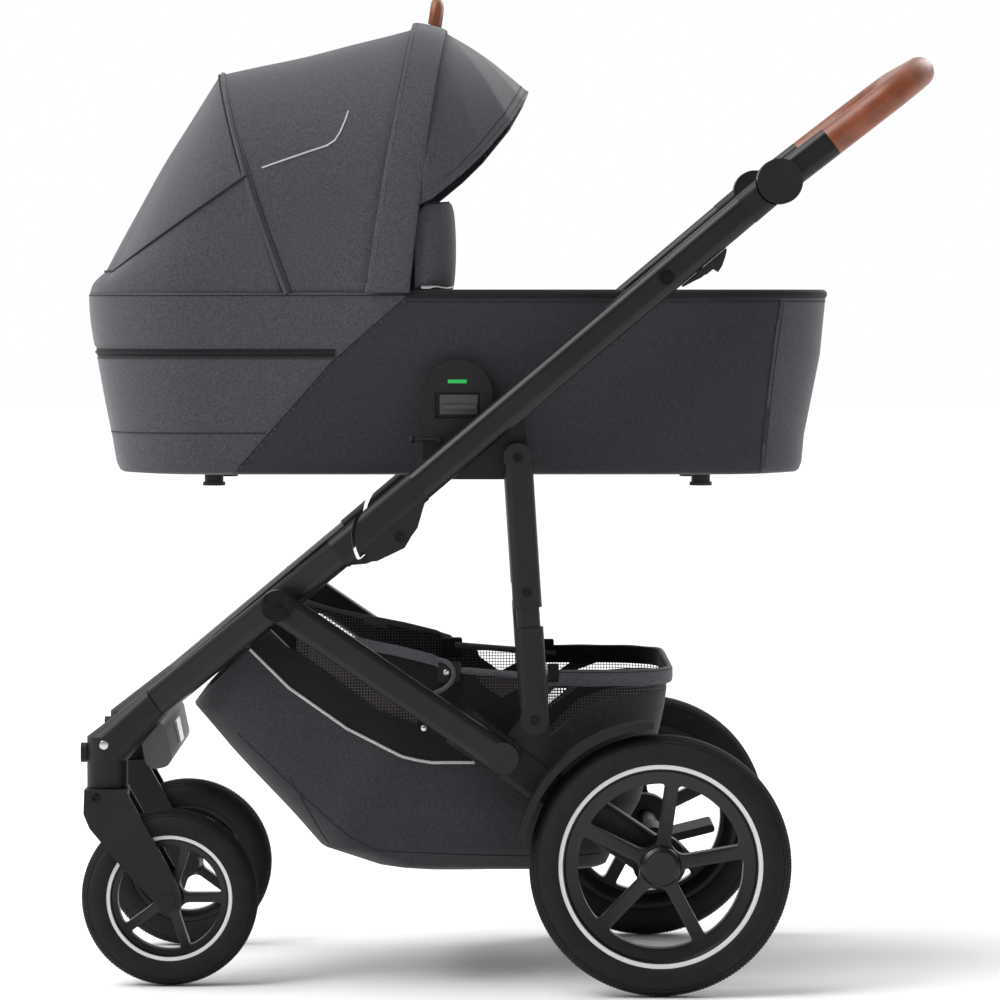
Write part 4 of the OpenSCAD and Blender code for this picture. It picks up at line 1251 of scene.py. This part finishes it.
# Rim: foam in a grey sleeve round the rear, 16 mm high and 7 mm thick
RIM_PLAN = (-352, 182, 207, 72)
rim_share = share_on(46, *RIM_PLAN)


def rim_place(u, v):
    share = rim_share + (1 - 2 * rim_share) * u
    (x, y), (nx, ny) = round_plan(share, *RIM_PLAN)
    around = 2 * math.pi * v
    lobe = lobed(math.cos(around), 0.8)
    rise = lobed(math.sin(around), 0.7)
    wave = 0.3 * math.sin(share * 160)
    return x + nx * (3.6 * lobe + 1.5), y + ny * (3.6 * lobe + 1.5), 346 + (9.2 + wave) * rise


rim_pad = grid_piece("basket_rim_pad", 200, 20, rim_place, rim_cloth, joined=True)
close_ends(rim_pad)
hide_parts("basket_rim")
basket_fix(rim_pad)


def rim_line(out, z):
    """A line along the rim at height z, set off from the middle of its section."""
    way = []
    for k in range(161):
        share = rim_share + (1 - 2 * rim_share) * k / 160
        (x, y), (nx, ny) = round_plan(share, *RIM_PLAN)
        way.append((x + nx * out, y + ny * out, z))
    return way


basket_fix(cord_piece("basket_rim_stitch", rim_line(4.6, 352.2), 0.5, seam_thread))
lining = rim_line(-2.6, 347)


def lining_place(u, v):
    x, y, _ = lining[int(round(u * 160))]
    return x, y, 334 + 20 * v


rim_lining = grid_piece("basket_rim_lining", 160, 4, lining_place, dense_net)
basket_fix(rim_lining)

# Straps: 11 mm webbing from the leg pivot to a nylon bracket with a rivet,
# then a wrapped rod on to the rim, and a short loop down to the net
rivet_finish, _ = finish("nickel_plated_steel", "#c9c9c7", 0.28, Metallic=1.0)
for side_name, side in SIDES:
    def strap_place(u, v):
        line = [(-246, 406), (-205, 393), (-164, 384.6), (-120, 376), (-79.8, 366), (-70, 358)]
        x = -246 + 176 * u
        z = along_points(line, x)
        return x, side * (209.5 + 1.2 * math.sin(9 * u)), z - 6 + 12 * v
    strap = grid_piece(f"basket_strap_{side_name}", 60, 6, strap_place, rim_cloth)
    apply_modifier(strap, "SOLIDIFY", thickness=1.4 * MM, offset=0.0)
    basket_fix(strap)
    basket_fix(block(f"basket_bracket_{side_name}", (-64, side * 208.5, 352), (26, 6, 24), 2.6,
                     3, nylon))
    for place, name in (((-66.8, 352.5), "strap_rivet"), ((-92, 290.4), "net_clip")):
        nothing_selected()
        bpy.ops.mesh.primitive_uv_sphere_add(
            segments=24, ring_count=12, radius=0.0036,
            location=(place[0] * MM, side * 0.2118, place[1] * MM), scale=(1, 0.45, 1))
        rivet = bpy.context.object
        bpy.ops.object.transform_apply(location=True, rotation=True, scale=True)
        bpy.ops.object.shade_smooth()
        basket_fix(keep(rivet, f"basket_{name}_{side_name}", rivet_finish))
    loop = [(-79, 368), (-66, 364), (-59.5, 357), (-58.5, 349), (-62, 341), (-70, 334),
            (-80, 329.5)]
    basket_fix(cord_piece(f"basket_strap_loop_{side_name}",
                          [(x, side * 214.5, z) for x, z in loop], 2.6, rim_cloth))
    basket_fix(cord_piece(f"basket_rod_{side_name}",
                          [(x, side * 206.5, 355 - 0.08 * (x + 60)) for x in
                           range(-60, 61, 12)], 3.8, rim_cloth))
    basket_fix(block(f"basket_rim_tab_{side_name}", (51.5, side * 208.5, 351.5),
                     (13, 9.5, 21), 2.2, 3, black_tape))

# ---------------------------------------------------------------------------
# Small fittings: nickel rivets pressed into the caster housings, black socket
# screws in the forks, and a green window with a painted glow over each adapter's catch.
# ---------------------------------------------------------------------------


def stud(name, place, radius, height, mat, hollow=0.0):
    """A round head on an outer face, its axis along Y, with an optional socket."""
    nothing_selected()
    bpy.ops.mesh.primitive_cylinder_add(vertices=32, radius=radius * MM, depth=height * MM,
                                        rotation=(math.pi / 2, 0, 0))
    head = bpy.context.object
    bpy.ops.object.transform_apply(location=True, rotation=True, scale=True)
    if hollow:
        bpy.ops.mesh.primitive_cylinder_add(vertices=6, radius=hollow * MM, depth=height * MM,
                                            rotation=(math.pi / 2, 0, 0),
                                            location=(0, place[1] / abs(place[1])
                                                      * height * 0.55 * MM, 0))
        socket = bpy.context.object
        bpy.ops.object.transform_apply(location=True, rotation=True, scale=True)
        apply_modifier(head, "BOOLEAN", object=socket, operation="DIFFERENCE", solver="EXACT")
        bpy.data.objects.remove(socket)
    apply_modifier(head, "BEVEL", width=0.3 * height * MM, segments=3, limit_method="ANGLE",
                   angle_limit=math.radians(35))
    head.data.transform(Matrix.Translation(Vector(place) * MM))
    select_only(head)
    bpy.ops.object.shade_smooth_by_angle(angle=math.radians(40))
    return keep(head, name, mat)


# The window's emission is a painted glow; the catch holds no lamp
green_window_painted_glow, _ = finish("moulded_acrylic_green_painted_glow", "#1f9e4a", 0.3, IOR=1.49,
                         Emission_Color=srgb("#1f9e4a"), Emission_Strength=0.35)
for side_name, side in SIDES:
    rivet = stud(f"housing_rivet_{side_name}", (-447.7, side * 205.2, 271), 5, 1.8, rivet_finish)
    fix_to(rivet, "front_frame")
    screw = stud(f"fork_screw_{side_name}", (-456.4, side * 215.2, 213), 5, 2.4, black_steel, 2.4)
    fix_to(screw, f"caster_{side_name}")
    fix_to(block(f"catch_window_{side_name}", (-54.5, side * 232.2, 675.6), (21, 1.4, 4.2),
                 0.5, 2, green_window_painted_glow), "carrycot")
